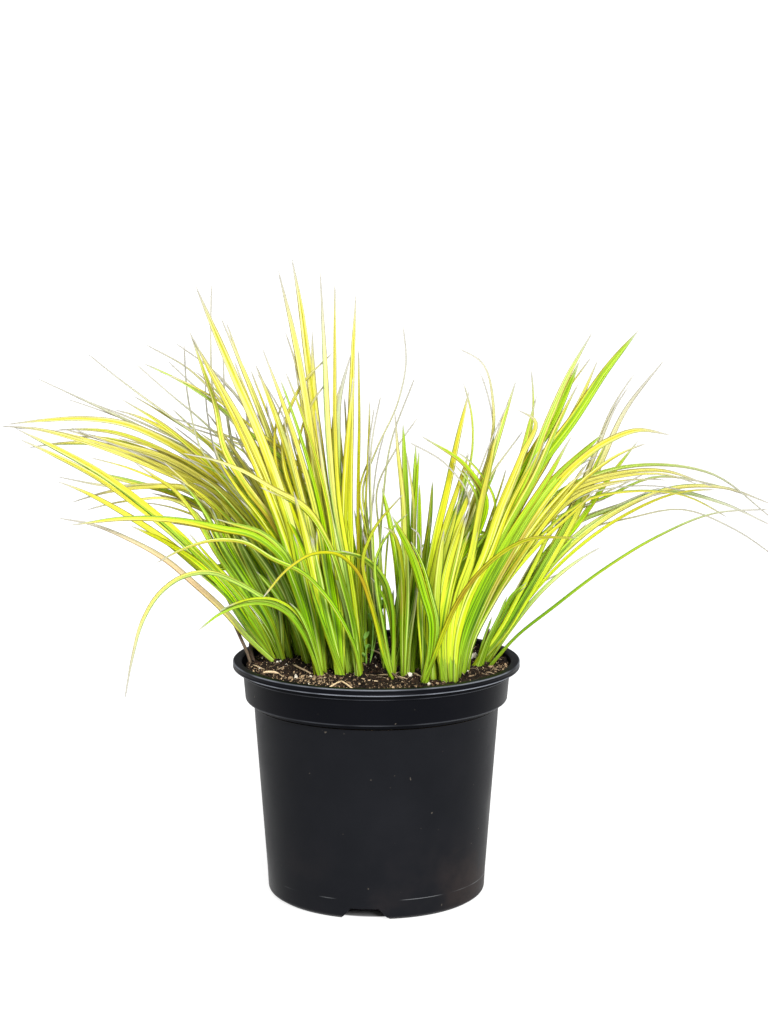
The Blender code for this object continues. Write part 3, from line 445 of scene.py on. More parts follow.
def soil_material():
    """Dark damp mix whose lumps are a little lighter on top."""
    g = Graph("potting_mix")
    fine = g.noise(900, 4, 0.65)
    lumps = g.noise(190, 4, 0.6)
    colour = g.mix(g.step(lumps, 0.3, 0.7), linear(8, 6, 5), linear(50, 38, 27))
    colour = g.mix(g.step(fine, 0.62, 0.72), colour, linear(150, 122, 88))
    return g.finish(colour, 0.92, Normal=g.bump(fine + lumps, 0.8, 0.001), Specular_IOR_Level=0.2)


def crumb_material():
    """Loose crumbs, whose own tone runs from near black to golden tan, with painted shade in the pits of
    their fine relief.
    """
    g = Graph("crumbs")
    tone = g.carried("tone")
    fine = g.noise(1400, 4, 0.6)
    dark = g.mix(g.step(tone, 0.0, 0.6), linear(12, 8, 6), linear(84, 60, 42))
    pale = g.mix(g.noise(420, 2), linear(166, 124, 82), linear(240, 216, 176))
    colour = g.mix(g.step(tone, 0.6, 0.9), dark, pale)
    # Painted shade: a darker copy of the colour where the fine relief dips.
    colour = g.mix(g.step(fine, 0.35, 0.7), g.mix(0.45, colour, linear(10, 7, 5)), colour)
    return g.finish(colour, 0.88, Normal=g.bump(fine, 0.8, 0.0006), Specular_IOR_Level=0.2)


def perlite_material():
    """Off-white grains with darker pores."""
    g = Graph("perlite")
    pores = g.noise(1800, 3)
    stain = g.noise(300, 2)
    colour = g.mix(stain, linear(250, 246, 234), linear(206, 192, 164))
    colour = g.mix(g.step(pores, 0.62, 0.7), colour, linear(140, 124, 100))
    return g.finish(colour, 0.9, Normal=g.bump(pores, 0.9, 0.0005))


def straw_material():
    """Dry stalks, bark slivers and root fibres, with lengthwise fibres of their own tone."""
    g = Graph("straw")
    tone = g.carried("tone")
    fibres = g.noise(1500, 3, 0.6)
    colour = g.mix(tone, linear(34, 27, 22), linear(240, 212, 170))
    colour = g.mix(g.step(fibres, 0.4, 0.7, 0.0, 0.5), colour, linear(120, 84, 54))
    return g.finish(colour, 0.75, Normal=g.bump(fibres, 0.7, 0.0004))


def weed_material():
    """Mottled light green."""
    g = Graph("weed")
    mottle = g.noise(500, 3)
    colour = g.mix(mottle, linear(96, 168, 50), linear(176, 222, 100))
    return g.finish(colour, 0.5, Normal=g.bump(mottle, 0.4, 0.0004))


def floor_material():
    """A pale floor that gives light by itself, but not right under the pot, where a painted shadow lies."""
    g = Graph("pale_floor")
    cloud = g.noise(3, 3)
    x, y, z = g.split(g.place)
    # Painted shadow: the floor gives no light within the pot's foot, so a dark disc lies under it.
    glow_with_painted_shadow = g.step(g.from_axis(x, y), 0.0560, 0.0585, 0.0, FLOOR_GLOW)
    colour = g.mix(cloud, (0.32, 0.32, 0.32, 1.0), (0.34, 0.34, 0.34, 1.0))
    white = (1.0, 1.0, 1.0, 1.0)
    return g.finish(colour, 0.95, Specular_IOR_Level=0.0, Emission_Color=white, Emission_Strength=glow_with_painted_shadow)


def add_object(name, data):
    added = bpy.data.objects.new(name, data)
    bpy.context.scene.collection.objects.link(added)
    return added


def new_piece(name, bm, material, slot, *replaced):
    """A piece from its faces, all turned outwards."""
    bmesh.ops.recalc_face_normals(bm, faces=bm.faces)
    mesh = bpy.data.meshes.new(name)
    bm.to_mesh(mesh)
    bm.free()
    add_piece(mesh, material, slot, *replaced)


def add_piece(mesh, material, slot, *replaced):
    """A finished mesh as a piece of the object."""
    mesh.materials.append(material)
    mesh.shade_smooth()
    piece = add_object(mesh.name, mesh)
    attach(piece, "root")
    if replaced:
        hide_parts(*replaced)


def neighbours(vert):
    return {edge.other_vert(vert) for edge in vert.link_edges}


def spread(verts):
    places = [vert.co for vert in verts]
    return max((a - b).length for a in places for b in places)


def is_level(vert, height):
    return abs(vert.co.z - height) < LEVEL_SLACK


def is_tip(vert):
    if is_level(vert, SHEATH_TOP) or is_level(vert, SHEATH_FOOT):
        return False
    around = neighbours(vert)
    return len(around) == 4 and spread(around) < MOST_TIP_SPREAD


def rings_to(tip):
    """The rings of four corners from the sheath's cap up to the tip."""
    seen = {tip}
    ring = neighbours(tip)
    rings = [ring]
    while not all(is_level(vert, SHEATH_TOP) for vert in ring):
        seen |= ring
        ring = set().union(*(neighbours(vert) for vert in ring)) - seen
        rings.append(ring)
    return rings[::-1]


def measure_ring(ring, before):
    """A ring's middle, its direction across the blade, its half width and its half thickness."""
    corners = [vert.co for vert in sorted(ring, key=lambda vert: vert.index)]
    middle = sum(corners, Vector()) / len(corners)
    near, side, _ = sorted((corner - corners[0] for corner in corners[1:]), key=lambda step: step.length)
    across = side.normalized()
    if before and across.dot(before) < 0 or not before and across.x < 0:
        across = -across
    return middle, across, side.length / 2, near.length / 2


def stations_of(points):
    """How far along the way through the points each one lies."""
    stations = [0.0]
    for first, second in zip(points, points[1:]):
        stations.append(stations[-1] + (second - first).length)
    return stations


class Course:
    """Values at stations along a blade, joined by a smooth curve."""

    def __init__(self, stations, values):
        self.stations = stations
        self.values = values
        slopes = [(b - a) / (t - s) for a, b, s, t in zip(values, values[1:], stations, stations[1:])]
        gaps = [t - s for s, t in zip(stations, stations[1:])]
        inner = [
            (slopes[i] * gaps[i + 1] + slopes[i + 1] * gaps[i]) / (gaps[i] + gaps[i + 1])
            for i in range(len(slopes) - 1)
        ]
        self.slopes = [slopes[0]] + inner + [slopes[-1]]

    def at(self, station):
        last = len(self.stations) - 2
        i = next((k for k in range(last + 1) if station <= self.stations[k + 1]), last)
        gap = self.stations[i + 1] - self.stations[i]
        t = (station - self.stations[i]) / gap
        start, end = self.values[i], self.values[i + 1]
        leave, arrive = self.slopes[i] * gap, self.slopes[i + 1] * gap
        return (
            start * (2 * t ** 3 - 3 * t ** 2 + 1) + leave * (t ** 3 - 2 * t ** 2 + t)
            + end * (3 * t ** 2 - 2 * t ** 3) + arrive * (t ** 3 - t ** 2)
        )


def drawn_out(full, reach, length):
    """A leaf's half width here: narrowed to its foot in the soil and drawn out to a fine point."""
    foot = 0.72 + 0.28 * min(1.0, reach / FOOT_REACH)
    wide = max(full * foot * (1 - (reach / length) ** 6) ** 0.75, TIP_HALF_WIDTH)
    return wide * min(1.0, 0.15 + (length - reach) / TIP_REACH)


def shrivelled(along, dry):
    """The share of its width that a leaf still has here, where its end has withered."""
    return 1 - 0.28 * max(0.0, (along - 1 + dry) / dry)


class Blade:
    """One leaf as its solid gives it: a middle line with its width, thickness and facing."""

    def __init__(self, tip):
        self.narrow = 1.0
        rings = []
        before = None
        for ring in rings_to(tip):
            rings.append(measure_ring(ring, before))
            before = rings[-1][1]
        middles, *others = zip(*rings)
        middles = [*middles, tip.co.copy()]
        self.cap = middles[0]
        leaving = ((middles[1] - self.cap).normalized() + UP).normalized()
        middles[0] = self.cap - leaving * BASE_DEPTH
        stations = stations_of(middles)
        self.length = stations[-1]
        self.middle = Course(stations, middles)
        self.across, self.width, self.thickness = (Course(stations[:-1], values) for values in others)
        self.last_ring = stations[-2]

    def full_width(self, reach):
        """Half the solid's width, before the leaf is drawn out to its point."""
        return self.width.at(min(reach, self.last_ring * 0.8)) * WIDTH_SCALE * self.narrow

    def half_width(self, reach):
        return drawn_out(self.full_width(reach), reach, self.length)

    def half_thickness(self, reach):
        t = reach / self.length
        return self.thickness.at(min(reach, self.last_ring)) * (0.8 * (1 - t ** 4) + 0.08)

    def place(self, reach):
        return self.middle.at(reach)

    def axes(self, reach):
        step = self.length / 200
        ahead = self.place(min(reach + step, self.length))
        tangent = (ahead - self.place(max(reach - step, 0.0))).normalized()
        across = self.across.at(min(reach, self.last_ring))
        across = (across - tangent * across.dot(tangent)).normalized()
        return across, tangent.cross(across)


class Sister:
    """A shorter, narrower leaf of the same shoot, which grows beside a leaf and parts from it upwards."""

    def __init__(self, blade, turn, bend, share, width, aside):
        self.blade = blade
        self.length = blade.length * share
        self.width = width
        self.foot = blade.place(0.0)
        across, self.through = blade.axes(0.0)
        self.turn, self.bend = turn, bend
        self.aside = across * aside[0] + self.through * aside[1]

    def turned(self, vector, reach):
        angle = self.turn + self.bend * (reach / self.length) ** 2
        return Matrix.Rotation(angle, 3, self.through) @ vector

    def half_width(self, reach):
        return drawn_out(self.blade.full_width(reach) * self.width, reach, self.length)

    def half_thickness(self, reach):
        return self.blade.half_thickness(reach) * 0.8

    def place(self, reach):
        return self.foot + self.turned(self.blade.place(reach) - self.foot, reach) + self.aside

    def axes(self, reach):
        across, through = self.blade.axes(reach)
        return self.turned(across, reach), self.turned(through, reach)


def blades_of(node):
    """The leaves of one fan, from front to back."""
    bm = bmesh.new()
    bm.from_mesh(node.data)
    bmesh.ops.remove_doubles(bm, verts=bm.verts, dist=SAME_PLACE)
    bm.verts.index_update()
    blades = [Blade(vert) for vert in bm.verts if is_tip(vert)]
    bm.free()
    return sorted(blades, key=lambda blade: blade.cap.y)


def section():
    """The leaf's cross-section as places across and through it, from one edge round to the same edge."""
    right = list(zip(RIDGE, RIDGE_DEPTH))
    left = [(-u, v) for u, v in right[:0:-1]]
    front = left + right
    back = [(u, -v) for u, v in front[-2:0:-1]]
    return front + back


SECTION = section()


def skin(bm, rings):
    """Faces from each closed ring of corners to the next."""
    for low, high in zip(rings, rings[1:]):
        for i in range(len(low)):
            n = (i + 1) % len(low)
            bm.faces.new((low[i], low[n], high[n], high[i]))


def cap_and_skin(bm, rings):
    skin(bm, rings)
    bm.faces.new(rings[0][::-1])
    bm.faces.new(rings[-1])


def add_blade(bm, layers, blade, tones, extras, sections, chance):
    """One leaf: smooth sections from its foot in the soil up to its point."""
    blade_layer, tone_layer, extra_layer, wide_layer = layers
    sway = chance.uniform(-3.0, 3.0)
    skew = chance.uniform(-0.25, 0.25)
    rings = []
    for i in range(sections):
        along = 1 - (1 - i / sections) ** 1.15
        reach = along * blade.length
        across, through = blade.axes(reach)
        twist = 0.16 * math.sin(along * 5.0 + sway) * min(1.0, along * 3)
        across, through = (
            across * math.cos(twist) + through * math.sin(twist),
            through * math.cos(twist) - across * math.sin(twist),
        )
        middle, thick = blade.place(reach), blade.half_thickness(reach)
        wide = blade.half_width(reach) * shrivelled(along, extras[1])
        verts = []
        for u, v in SECTION:
            aside = across * wide * (u + skew * (1 - u * u))
            vert = bm.verts.new(middle + aside + through * thick * v)
            vert[blade_layer] = (u, along, reach)
            vert[wide_layer] = wide
            verts.append(vert)
        rings.append(verts)
    skin(bm, rings)
    point = bm.verts.new(blade.place(blade.length))
    point[blade_layer] = (0.0, 1.0, blade.length)
    last = rings[-1]
    for first, second in zip(last, last[1:] + last[:1]):
        bm.faces.new((first, second, point))
    bm.faces.new(rings[0][::-1])
    for vert in [vert for ring in rings for vert in ring] + [point]:
        vert[tone_layer] = tones
        vert[extra_layer] = extras


def tones_of(look, chance):
    """A named look with each leaf's own small difference."""
    def near(value, slack):
        return min(1.0, max(0.0, value + chance.uniform(-slack, slack)))
    gold, warm, pale, green, dry = look
    tones = (near(gold, 0.10), near(warm, 0.05), near(pale, 0.08))
    return tones, (max(0.02, near(green, 0.03)), max(0.03, near(dry, 0.02)), chance.random())


def sisters_of(blade, chance, counts, turns):
    """The leaves that grow beside this one, with the chance of a dead one as thin as a hair."""
    def either_way(least, most):
        return math.radians(chance.choice((-1, 1)) * chance.uniform(least, most))

    for _ in range(chance.choice(counts)):
        share = chance.uniform(0.70, 0.98) if chance.random() < 0.70 else chance.uniform(0.40, 0.70)
        aside = (chance.uniform(-1.6, 1.6) * MM, chance.uniform(-1.2, 1.2) * MM)
        width = chance.uniform(0.55, 0.95)
        turn, bend = either_way(*turns), either_way(0.0, 3.5)
        yield Sister(blade, turn, bend, share, width, aside), False
    if chance.random() < 0.14:
        aside = (chance.uniform(-2.0, 2.0) * MM, chance.uniform(-1.5, 1.5) * MM)
        width = chance.uniform(0.18, 0.26)
        turn, bend = either_way(2.0, 6.0), either_way(0.0, 5.0)
        yield Sister(blade, turn, bend, chance.uniform(0.75, 1.0), width, aside), True


def make_fan(name, material, chance):
    """One fan: the leaves of its solid, each with its sisters."""
    bm = bmesh.new()
    layers = [bm.verts.layers.float_vector.new(key) for key in ("blade", "tone", "extra")]
    layers.append(bm.verts.layers.float.new("wide"))
    full = name in FULL_FANS
    counts, turns = (FULL_COUNTS, FULL_TURNS) if full else (COUNTS, TURNS)
    others = YELLOW_LOOKS if full else BRIGHT_LOOKS if name >= FIRST_BRIGHT_FAN else HIDDEN_LOOKS
    blades = blades_of(NODES[name])
    looks = LEAF_LOOKS[name].split() if name in LEAF_LOOKS else [chance.choice(HIDDEN_LOOKS) for _ in blades]
    shares = NARROW.get(name, ()) + (1.0,) * len(blades)
    for place, (blade, look, share) in enumerate(zip(blades, looks, shares)):
        blade.narrow = share
        add_blade(bm, layers, blade, *tones_of(LOOKS[look], chance), SECTIONS, chance)
        if ALONE.get(name) == place:
            continue
        for sister, dead in sisters_of(blade, chance, counts, turns):
            own = look if chance.random() < 0.6 else chance.choice(others)
            own = LOOKS["dead" if dead else own]
            add_blade(bm, layers, sister, *tones_of(own, chance), SISTER_SECTIONS, chance)
    new_piece(name + "_leaves", bm, material, "leaf", name)


def make_fans(material):
    chance = random.Random(SEED)
    for name in sorted(NODES):
        if name.startswith("fan_"):
            make_fan(name, material, chance)


def arc(middle, radius, start, end, steps):
    """Points on an arc in the plane of the profile, angles in degrees."""
    found = []
    for i in range(steps + 1):
        angle = math.radians(start + (end - start) * i / steps)
        found.append((middle[0] + radius * math.cos(angle), middle[1] + radius * math.sin(angle)))
    return found


def from_millimetres(*points):
    """Places in the section, in metres."""
    return [(radius * MM, height * MM) for radius, height in points]


def pot_profile():
    """The pot's outer section in metres: from the axis over the lip, down the outside and under the foot."""
    rim, top, foot = RIM_RADIUS, RIM_HEIGHT, FOOT_RADIUS
    collar_top, collar_foot, body_top, body_foot = (value * MM for value in (81.2, 80.0, 74.7, 66.6))

    def below_top(start, *steps):
        """Points so many millimetres in from the start and down from the rim's top."""
        return [(start - inwards * MM, top - down * MM) for inwards, down in steps]

    points = [(0.0, top)] + below_top(rim, (5.6, 0.0))
    points += arc((rim - 1.0 * MM, top - 1.0 * MM), 1.0 * MM, 90, 0, 6)
    points += below_top(rim, (0.1, 2.2), (0.25, 2.5))
    points += arc((rim - 0.7 * MM, top - 3.6 * MM), 0.7 * MM, 10, -90, 5)
    points += below_top(rim, (1.5, 4.3), (1.6, 1.9), (1.9, 1.6))
    points += below_top(collar_top, (-2.4, 1.6), (-1.9, 2.1), (-1.9, 6.6))
    points += arc((collar_top + 1.2 * MM, top - 6.9 * MM), 0.7 * MM, 0, -70, 3)
    points += below_top(collar_top, (-0.2, 7.9), (0.0, 9.2), (0.6, 16.0))
    points += arc((collar_foot - 1.6 * MM, 122.3 * MM), 1.6 * MM, 0, -60, 5)
    points += arc((body_top + 2.0 * MM, 116.9 * MM), 2.0 * MM, 120, 178, 5)
    steps = 14
    for i in range(1, steps):
        share = i / steps
        points.append((body_top + share * (body_foot - body_top), (116.0 - share * 109.0) * MM))
    points += arc((body_foot - 3.3 * MM, 4.1 * MM), 3.3 * MM, -4, -80, 6)
    ledge = ((1.2, 0.0), (5.6, 0.0), (6.4, 0.4), (10.0, 7.2), (10.8, 7.5))
    points += [(foot - inwards * MM, height * MM) for inwards, height in ledge]
    return points + from_millimetres((38.4, 7.5), (37.8, 7.2), (34.4, 0.4), (33.6, 0.0), (0.0, 0.0))


def hollow_profile():
    """The section of the space inside the pot, in metres."""
    points = from_millimetres(
        (0.0, 1.6), (32.8, 1.6), (36.7, 8.8), (55.3, 8.8), (59.3, 1.6), (64.6, 1.6), (65.7, 8.0),
        (73.4, 116.4), (78.7, 121.4), (79.9, 136.8), (81.6, 138.9), (81.8, 143.4),
    )
    points += [(81.8 * MM + (1 - math.cos(a)) * 1.5 * MM, 143.4 * MM + math.sin(a) * 1.6 * MM)
               for a in (math.radians(30), math.radians(60), math.radians(88))]
    return points + [(83.4 * MM, RIM_HEIGHT + 5 * MM), (0.0, RIM_HEIGHT + 5 * MM)]


def turned_solid(profile):
    """A solid turned from its section, which is closed round or ends on the axis."""
    bm = bmesh.new()
    hubs = {k: bm.verts.new((0.0, 0.0, height)) for k, (radius, height) in enumerate(profile) if not radius}
    rings = []
    for i in range(POT_SEGMENTS):
        angle = math.tau * i / POT_SEGMENTS
        side, front = math.sin(angle), -math.cos(angle)
        rings.append([
            hubs.get(k) or bm.verts.new((radius * side, radius * front, height))
            for k, (radius, height) in enumerate(profile)
        ])
    for ring, following in zip(rings, rings[1:] + rings[:1]):
        for k in range(len(profile)):
            n = (k + 1) % len(profile)
            corners = list(dict.fromkeys((ring[k], following[k], following[n], ring[n])))
            if len(corners) > 2:
                bm.faces.new(corners)
    bmesh.ops.recalc_face_normals(bm, faces=bm.faces)
    return bm


def notch_block(extra):
    """The wedge-sided block that one notch takes out of the foot, grown by the extra."""
    bm = bmesh.new()
    bmesh.ops.create_cube(bm, size=1.0)
    for vert in bm.verts:
        top = vert.co.z > 0
        vert.co.x *= (NOTCH_TOP_WIDTH if top else NOTCH_FOOT_WIDTH) + 2 * extra
        vert.co.y = vert.co.y * NOTCH_REACH - FOOT_RADIUS
        vert.co.z = NOTCH_HEIGHT + extra if top else -NOTCH_BELOW
    return bm


def drain_block():
    bm = bmesh.new()
    bmesh.ops.create_cone(
        bm, cap_ends=True, segments=32, radius1=DRAIN_RADIUS, radius2=DRAIN_RADIUS, depth=9 * MM,
    )
    bmesh.ops.translate(bm, verts=bm.verts, vec=(0.0, -DRAIN_RING_RADIUS, 7.5 * MM))
    return bm


def cutter_of(bm, turn=0.0):
    """A passing object that is only there to be cut away."""
    mesh = bpy.data.meshes.new("cutter")
    bm.to_mesh(mesh)
    bm.free()
    cutter = add_object("cutter", mesh)
    cutter.rotation_euler.z = turn
    return cutter


def cut_by(solid, cutters):
    """The solid's mesh without its cutters, all of which are then gone."""
    for cutter in cutters:
        modifier = solid.modifiers.new("cut", "BOOLEAN")
        modifier.operation = "DIFFERENCE"
        modifier.solver = "EXACT"
        modifier.object = cutter
    bpy.context.view_layer.update()
    mesh = bpy.data.meshes.new_from_object(solid.evaluated_get(bpy.context.evaluated_depsgraph_get()))
    for passing in cutters + [solid]:
        bpy.data.objects.remove(passing)
    return mesh


def round_foot(count, block, *sizes):
    """As many cutters as the count, spaced evenly round the pot."""
    return [cutter_of(block(*sizes), NOTCH_TURN + math.tau * i / count) for i in range(count)]


def make_pot(material):
    """The pot turned from its section, with its notches and drain holes cut out."""
    bumps = round_foot(NOTCHES, notch_block, WALL)
    hollow = add_object("hollow", cut_by(cutter_of(turned_solid(hollow_profile())), bumps))
    drains = round_foot(DRAINS, drain_block)
    notches = round_foot(NOTCHES, notch_block, 0.0)
    mesh = cut_by(cutter_of(turned_solid(pot_profile())), [hollow] + notches + drains)
    mesh.name = "nursery_pot"
    add_piece(mesh, material, "pot_plastic", "pot")
    mesh.set_sharp_from_angle(angle=math.radians(38))


def soil_edge(angle):
    """How far out the mix reaches: up to the wall on the right, a little less far elsewhere."""
    return SOIL_EDGE + SOIL_FILL * max(0.0, math.cos(angle)) ** 2


def soil_height(x, y):
    """The potting mix's surface: nearly level, lower at the wall, with mounds and crumbs."""
    radius = math.hypot(x, y)
    dip = max(0.0, (radius - DIP_START) / DIP_WIDTH)
    level = SOIL_LEVEL - SOIL_DIP * dip ** 1.5
    place = Vector((x, y, 0.0))
    mounds = noise.fractal(place * 38 + Vector((3.1, 7.7, 0.0)), 1.0, 2.0, 2) * 0.0022
    lumps = abs(noise.noise(place * 190)) * 0.0022
    grains = noise.noise(place * 620 + Vector((0.0, 5.0, 2.0))) * 0.0009
    return level + mounds + lumps + grains - 0.0012


def on_surface(x, y, lift=0.0):
    return Vector((x, y, soil_height(x, y) + lift))


def make_soil(material):
    """The mix's surface in rings from the axis out, closed by a skirt inside the pot."""
    bm = bmesh.new()
    hub = bm.verts.new(on_surface(0.0, 0.0))
    rings = []
    for k in range(1, SOIL_RINGS + 1):
        row = []
        for i in range(SOIL_SEGMENTS):
            angle = math.tau * (i + 0.5 * (k % 2)) / SOIL_SEGMENTS
            radius = soil_edge(angle) * (k / SOIL_RINGS) ** 0.85
            row.append(bm.verts.new(on_surface(radius * math.cos(angle), radius * math.sin(angle))))
        rings.append(row)
    skirt = []
    for vert in rings[-1]:
        inwards = 0.90 * SOIL_EDGE / math.hypot(vert.co.x, vert.co.y)
        skirt.append(bm.verts.new((vert.co.x * inwards, vert.co.y * inwards, SKIRT_LEVEL)))
    foot = [bm.verts.new((v.co.x * 0.92, v.co.y * 0.92, SOIL_FOOT)) for v in skirt]
    for i in range(SOIL_SEGMENTS):
        bm.faces.new((hub, rings[0][i], rings[0][(i + 1) % SOIL_SEGMENTS]))
    skin(bm, rings + [skirt, foot])
    bm.faces.new(foot)
    new_piece("potting_mix_surface", bm, material, "potting_mix", "soil")


def lump_shapes(chance, rounds):
    """Corner places of some lumpy grains of unit size, and the triangles that they share."""
    bm = bmesh.new()
    bmesh.ops.create_icosphere(bm, subdivisions=rounds, radius=1.0)
    triangles = np.array([[vert.index for vert in face.verts] for face in bm.faces])
    corners = [vert.co.copy() for vert in bm.verts]
    bm.free()
    shapes = []
    for _ in range(LUMP_SHAPES):
        shift = Vector([chance.uniform(0, 50) for _ in range(3)])
        stretch = [chance.uniform(0.5, 1.5), chance.uniform(0.5, 1.2), chance.uniform(0.35, 0.8)]
        lumps = [[1 + 0.8 * noise.noise(corner * 2.3 + shift)] for corner in corners]
        shapes.append(np.array(corners) * stretch * lumps)
    return shapes, triangles


def grains_mesh(name, grains, shapes, triangles, chance):
    """One mesh of many grains, each given as its place, size and tone."""
    points, faces, tones = [], [], []
    for place, size, tone in grains:
        turn = Euler([chance.uniform(0, math.tau) for _ in range(3)]).to_matrix()
        shape = chance.choice(shapes) @ np.array(turn).T
        faces.append(triangles + len(points) * len(shape))
        points.append(shape * size + np.array(place))
        tones.append(np.full(len(shape), tone))
    points, faces, tones = (np.concatenate(rows) for rows in (points, faces, tones))
    mesh = bpy.data.meshes.new(name)
    mesh.from_pydata(points.tolist(), [], faces.tolist())
    mesh.attributes.new("tone", "FLOAT", "POINT").data.foreach_set("value", tones.astype(np.float32))
    return mesh


def scatter(chance, most=SCATTER_REACH):
    """A random place on the soil."""
    radius = most * math.sqrt(chance.random())
    angle = chance.uniform(0, math.tau)
    radius *= soil_edge(angle) / SOIL_EDGE
    return on_surface(radius * math.cos(angle), radius * math.sin(angle))


def golden_share(place):
    """How many of the crumbs here are golden: most in front on the left and by the right wall."""
    share = 0.15
    for x, y, radius in GOLDEN_SPOTS:
        share += 0.70 * math.exp(-((place.x / MM - x) ** 2 + (place.y / MM - y) ** 2) / radius ** 2)
    return min(0.8, share)


def make_crumbs(material):
    """Coarse crumbs, then fine ones, over the whole of the mix."""
    for part, (count, least, most) in enumerate(CRUMBS, start=1):
        chance = random.Random(SEED + part)
        shapes, triangles = lump_shapes(chance, 1)
        grains = []
        for _ in range(count):
            place = scatter(chance)
            size = (least + (most - least) * chance.random() ** 2.2) * MM
            tone = chance.gauss(0.18, 0.12)
            if chance.random() < golden_share(place):
                tone = chance.uniform(0.66, 1.0)
                size *= 0.9
            grains.append((place + UP * (size * 0.3), size, min(1.0, max(0.0, tone))))
        mesh = grains_mesh(f"soil_crumbs_{part}", grains, shapes, triangles, chance)
        add_piece(mesh, material, "potting_mix")
        mesh.shade_flat()


def make_perlite(material):
    """White grains: the ones that stand out in front, then smaller ones over the mix."""
    chance = random.Random(SEED + 6)
    shapes, triangles = lump_shapes(chance, 3)
    grains = [(on_soil(x, y, size * 0.6), size * MM, 1.0) for x, y, size in PERLITE]
    for _ in range(SMALL_PERLITE):
        place = scatter(chance)
        size = chance.uniform(0.4, 0.9) * MM
        grains.append((place + UP * (size * 0.5), size, 1.0))
    add_piece(grains_mesh("perlite_grains", grains, shapes, triangles, chance), material, "potting_mix")


def add_strand(bm, layer, points, radius, tone):
    """A thin stalk or fibre through the points, tapered at its ends."""
    stations = stations_of(points)
    course = Course(stations, points)
    steps = max(8, int(stations[-1] / 0.0015))
    rings = []
    for i in range(steps + 1):
        reach = stations[-1] * i / steps
        ahead = course.at(min(reach + 1e-4, stations[-1]))
        behind = course.at(max(reach - 1e-4, 0.0))
        tangent = (ahead - behind).normalized()
        side = tangent.cross(UP)
        side = side.normalized() if side.length > 0.05 else Vector((1.0, 0.0, 0.0))
        over = side.cross(tangent)
        taper = min(1.0, 0.35 + 4 * min(i, steps - i) / steps)
        row = []
        for k in range(STRAND_SIDES):
            angle = math.tau * k / STRAND_SIDES
            spot = course.at(reach) + (side * math.cos(angle) + over * math.sin(angle)) * radius * taper
            vert = bm.verts.new(spot)
            vert[layer] = tone
            row.append(vert)
        rings.append(row)
    cap_and_skin(bm, rings)


def on_soil(x, y, lift):
    """A place so many millimetres across, back and above the mix."""
    return on_surface(x * MM, y * MM, lift * MM)


# Stalks that stand out: points as across, back and lift, a radius and a tone, from dark to straw
STALKS = (
    (((-28.4, -72.5, 0.6), (-24.6, -65.2, 1.2), (-20.6, -57.6, 1.4)), 0.55, 1),
    (((-21, -57.4, 1.4), (-16.6, -65.4, 1.2), (-12, -74, 0.6)), 0.55, 1),
    (((-50.5, -13.3, 1.2), (-44.7, -24.6, 1.6), (-39, -35.6, 1)), 0.6, 0.62),
    (((-68, -29, 0.9), (-63.5, -28, 1.5), (-58.5, -30, 1.3)), 0.85, 0.92),
    (((-58.5, -30, 1), (-56, -34, 1.2), (-53.5, -37, 0.7)), 0.4, 0.7),
    (((-75.5, -8, 0.6), (-72.5, -15, 1.3), (-68, -19, 0.7)), 0.4, 0.9),
    (((1, -38, 0.8), (9, -46, 1.4), (19, -47.5, 0.9)), 0.4, 0.72),
    (((22, -36, 1.2), (27, -43, 1.4), (31, -46, 0.8)), 0.6, 0.85),
    (((-9, -54, 0.8), (-4, -57, 1.2), (1, -58, 0.8)), 0.45, 0.85),
    (((-4, 22, 3), (1, 15, 3.4), (6, 8, 2)), 0.5, 0.85),
    (((8, -44, 4), (12, -50, 1.8), (16, -54, 0.8)), 0.6, 0.15),
    (((-36, 4, 2), (-30, -6, 2.4), (-25, -16, 1)), 0.5, 0.1),
)
# No other stalk lies near the bent straw in front
BENT_STRAW = Vector((-20 * MM, -65 * MM, SOIL_LEVEL))
CLEAR_OF_STRAW = 16 * MM
# Dead leaf stubs among the leaves' feet, the same with heights for lifts, all in millimetres
STUBS = (
    (((-75.5, -4, 137), (-78.5, -2, 148), (-83, 0, 158), (-89, 2, 171)), 1, 0.12),
    (((-74, 6, 137), (-76.5, 6, 147), (-77.5, 6, 155)), 1.2, 0.05),
    (((62, 0, 141), (65, 0, 152), (69, 1, 163)), 0.9, 0.18),
    (((-33, 0, 141), (-31, 0, 152), (-27, 0, 160)), 0.9, 0.08),
    (((-40, -30, 179), (-43, -32, 186), (-46.5, -34, 190.5)), 0.5, 0.7),
)


def make_litter(material):
    """Stalks, bark slivers and fine roots that lie on the mix, with dead stubs among the leaves."""
    chance = random.Random(SEED + 9)
    bm = bmesh.new()
    layer = bm.verts.layers.float.new("tone")
    for points, radius, tone in STALKS:
        add_strand(bm, layer, [on_soil(*point) for point in points], radius * MM, tone)
    for points, radius, tone in STUBS:
        add_strand(bm, layer, [Vector(point) * MM for point in points], radius * MM, tone)
    for _ in range(FIBRES):
        start = scatter(chance, FIBRE_START)
        heading = chance.uniform(0, math.tau)
        length = chance.uniform(3, 11)
        bend = chance.uniform(-0.5, 0.5)
        if (start - BENT_STRAW).length < CLEAR_OF_STRAW:
            continue
        points = []
        for i in range(5):
            angle = heading + bend * i / 4
            x = start.x / MM + math.cos(angle) * length * i / 4
            y = start.y / MM + math.sin(angle) * length * i / 4
            if math.hypot(x, y) > FIBRE_REACH:
                break
            points.append(on_soil(x, y, 0.5 + 0.4 * math.sin(i * 1.3)))
        if len(points) > 2:
            add_strand(bm, layer, points, chance.uniform(0.10, 0.30) * MM, chance.uniform(0.1, 0.85))
    new_piece("straw_and_roots", bm, material, "potting_mix")


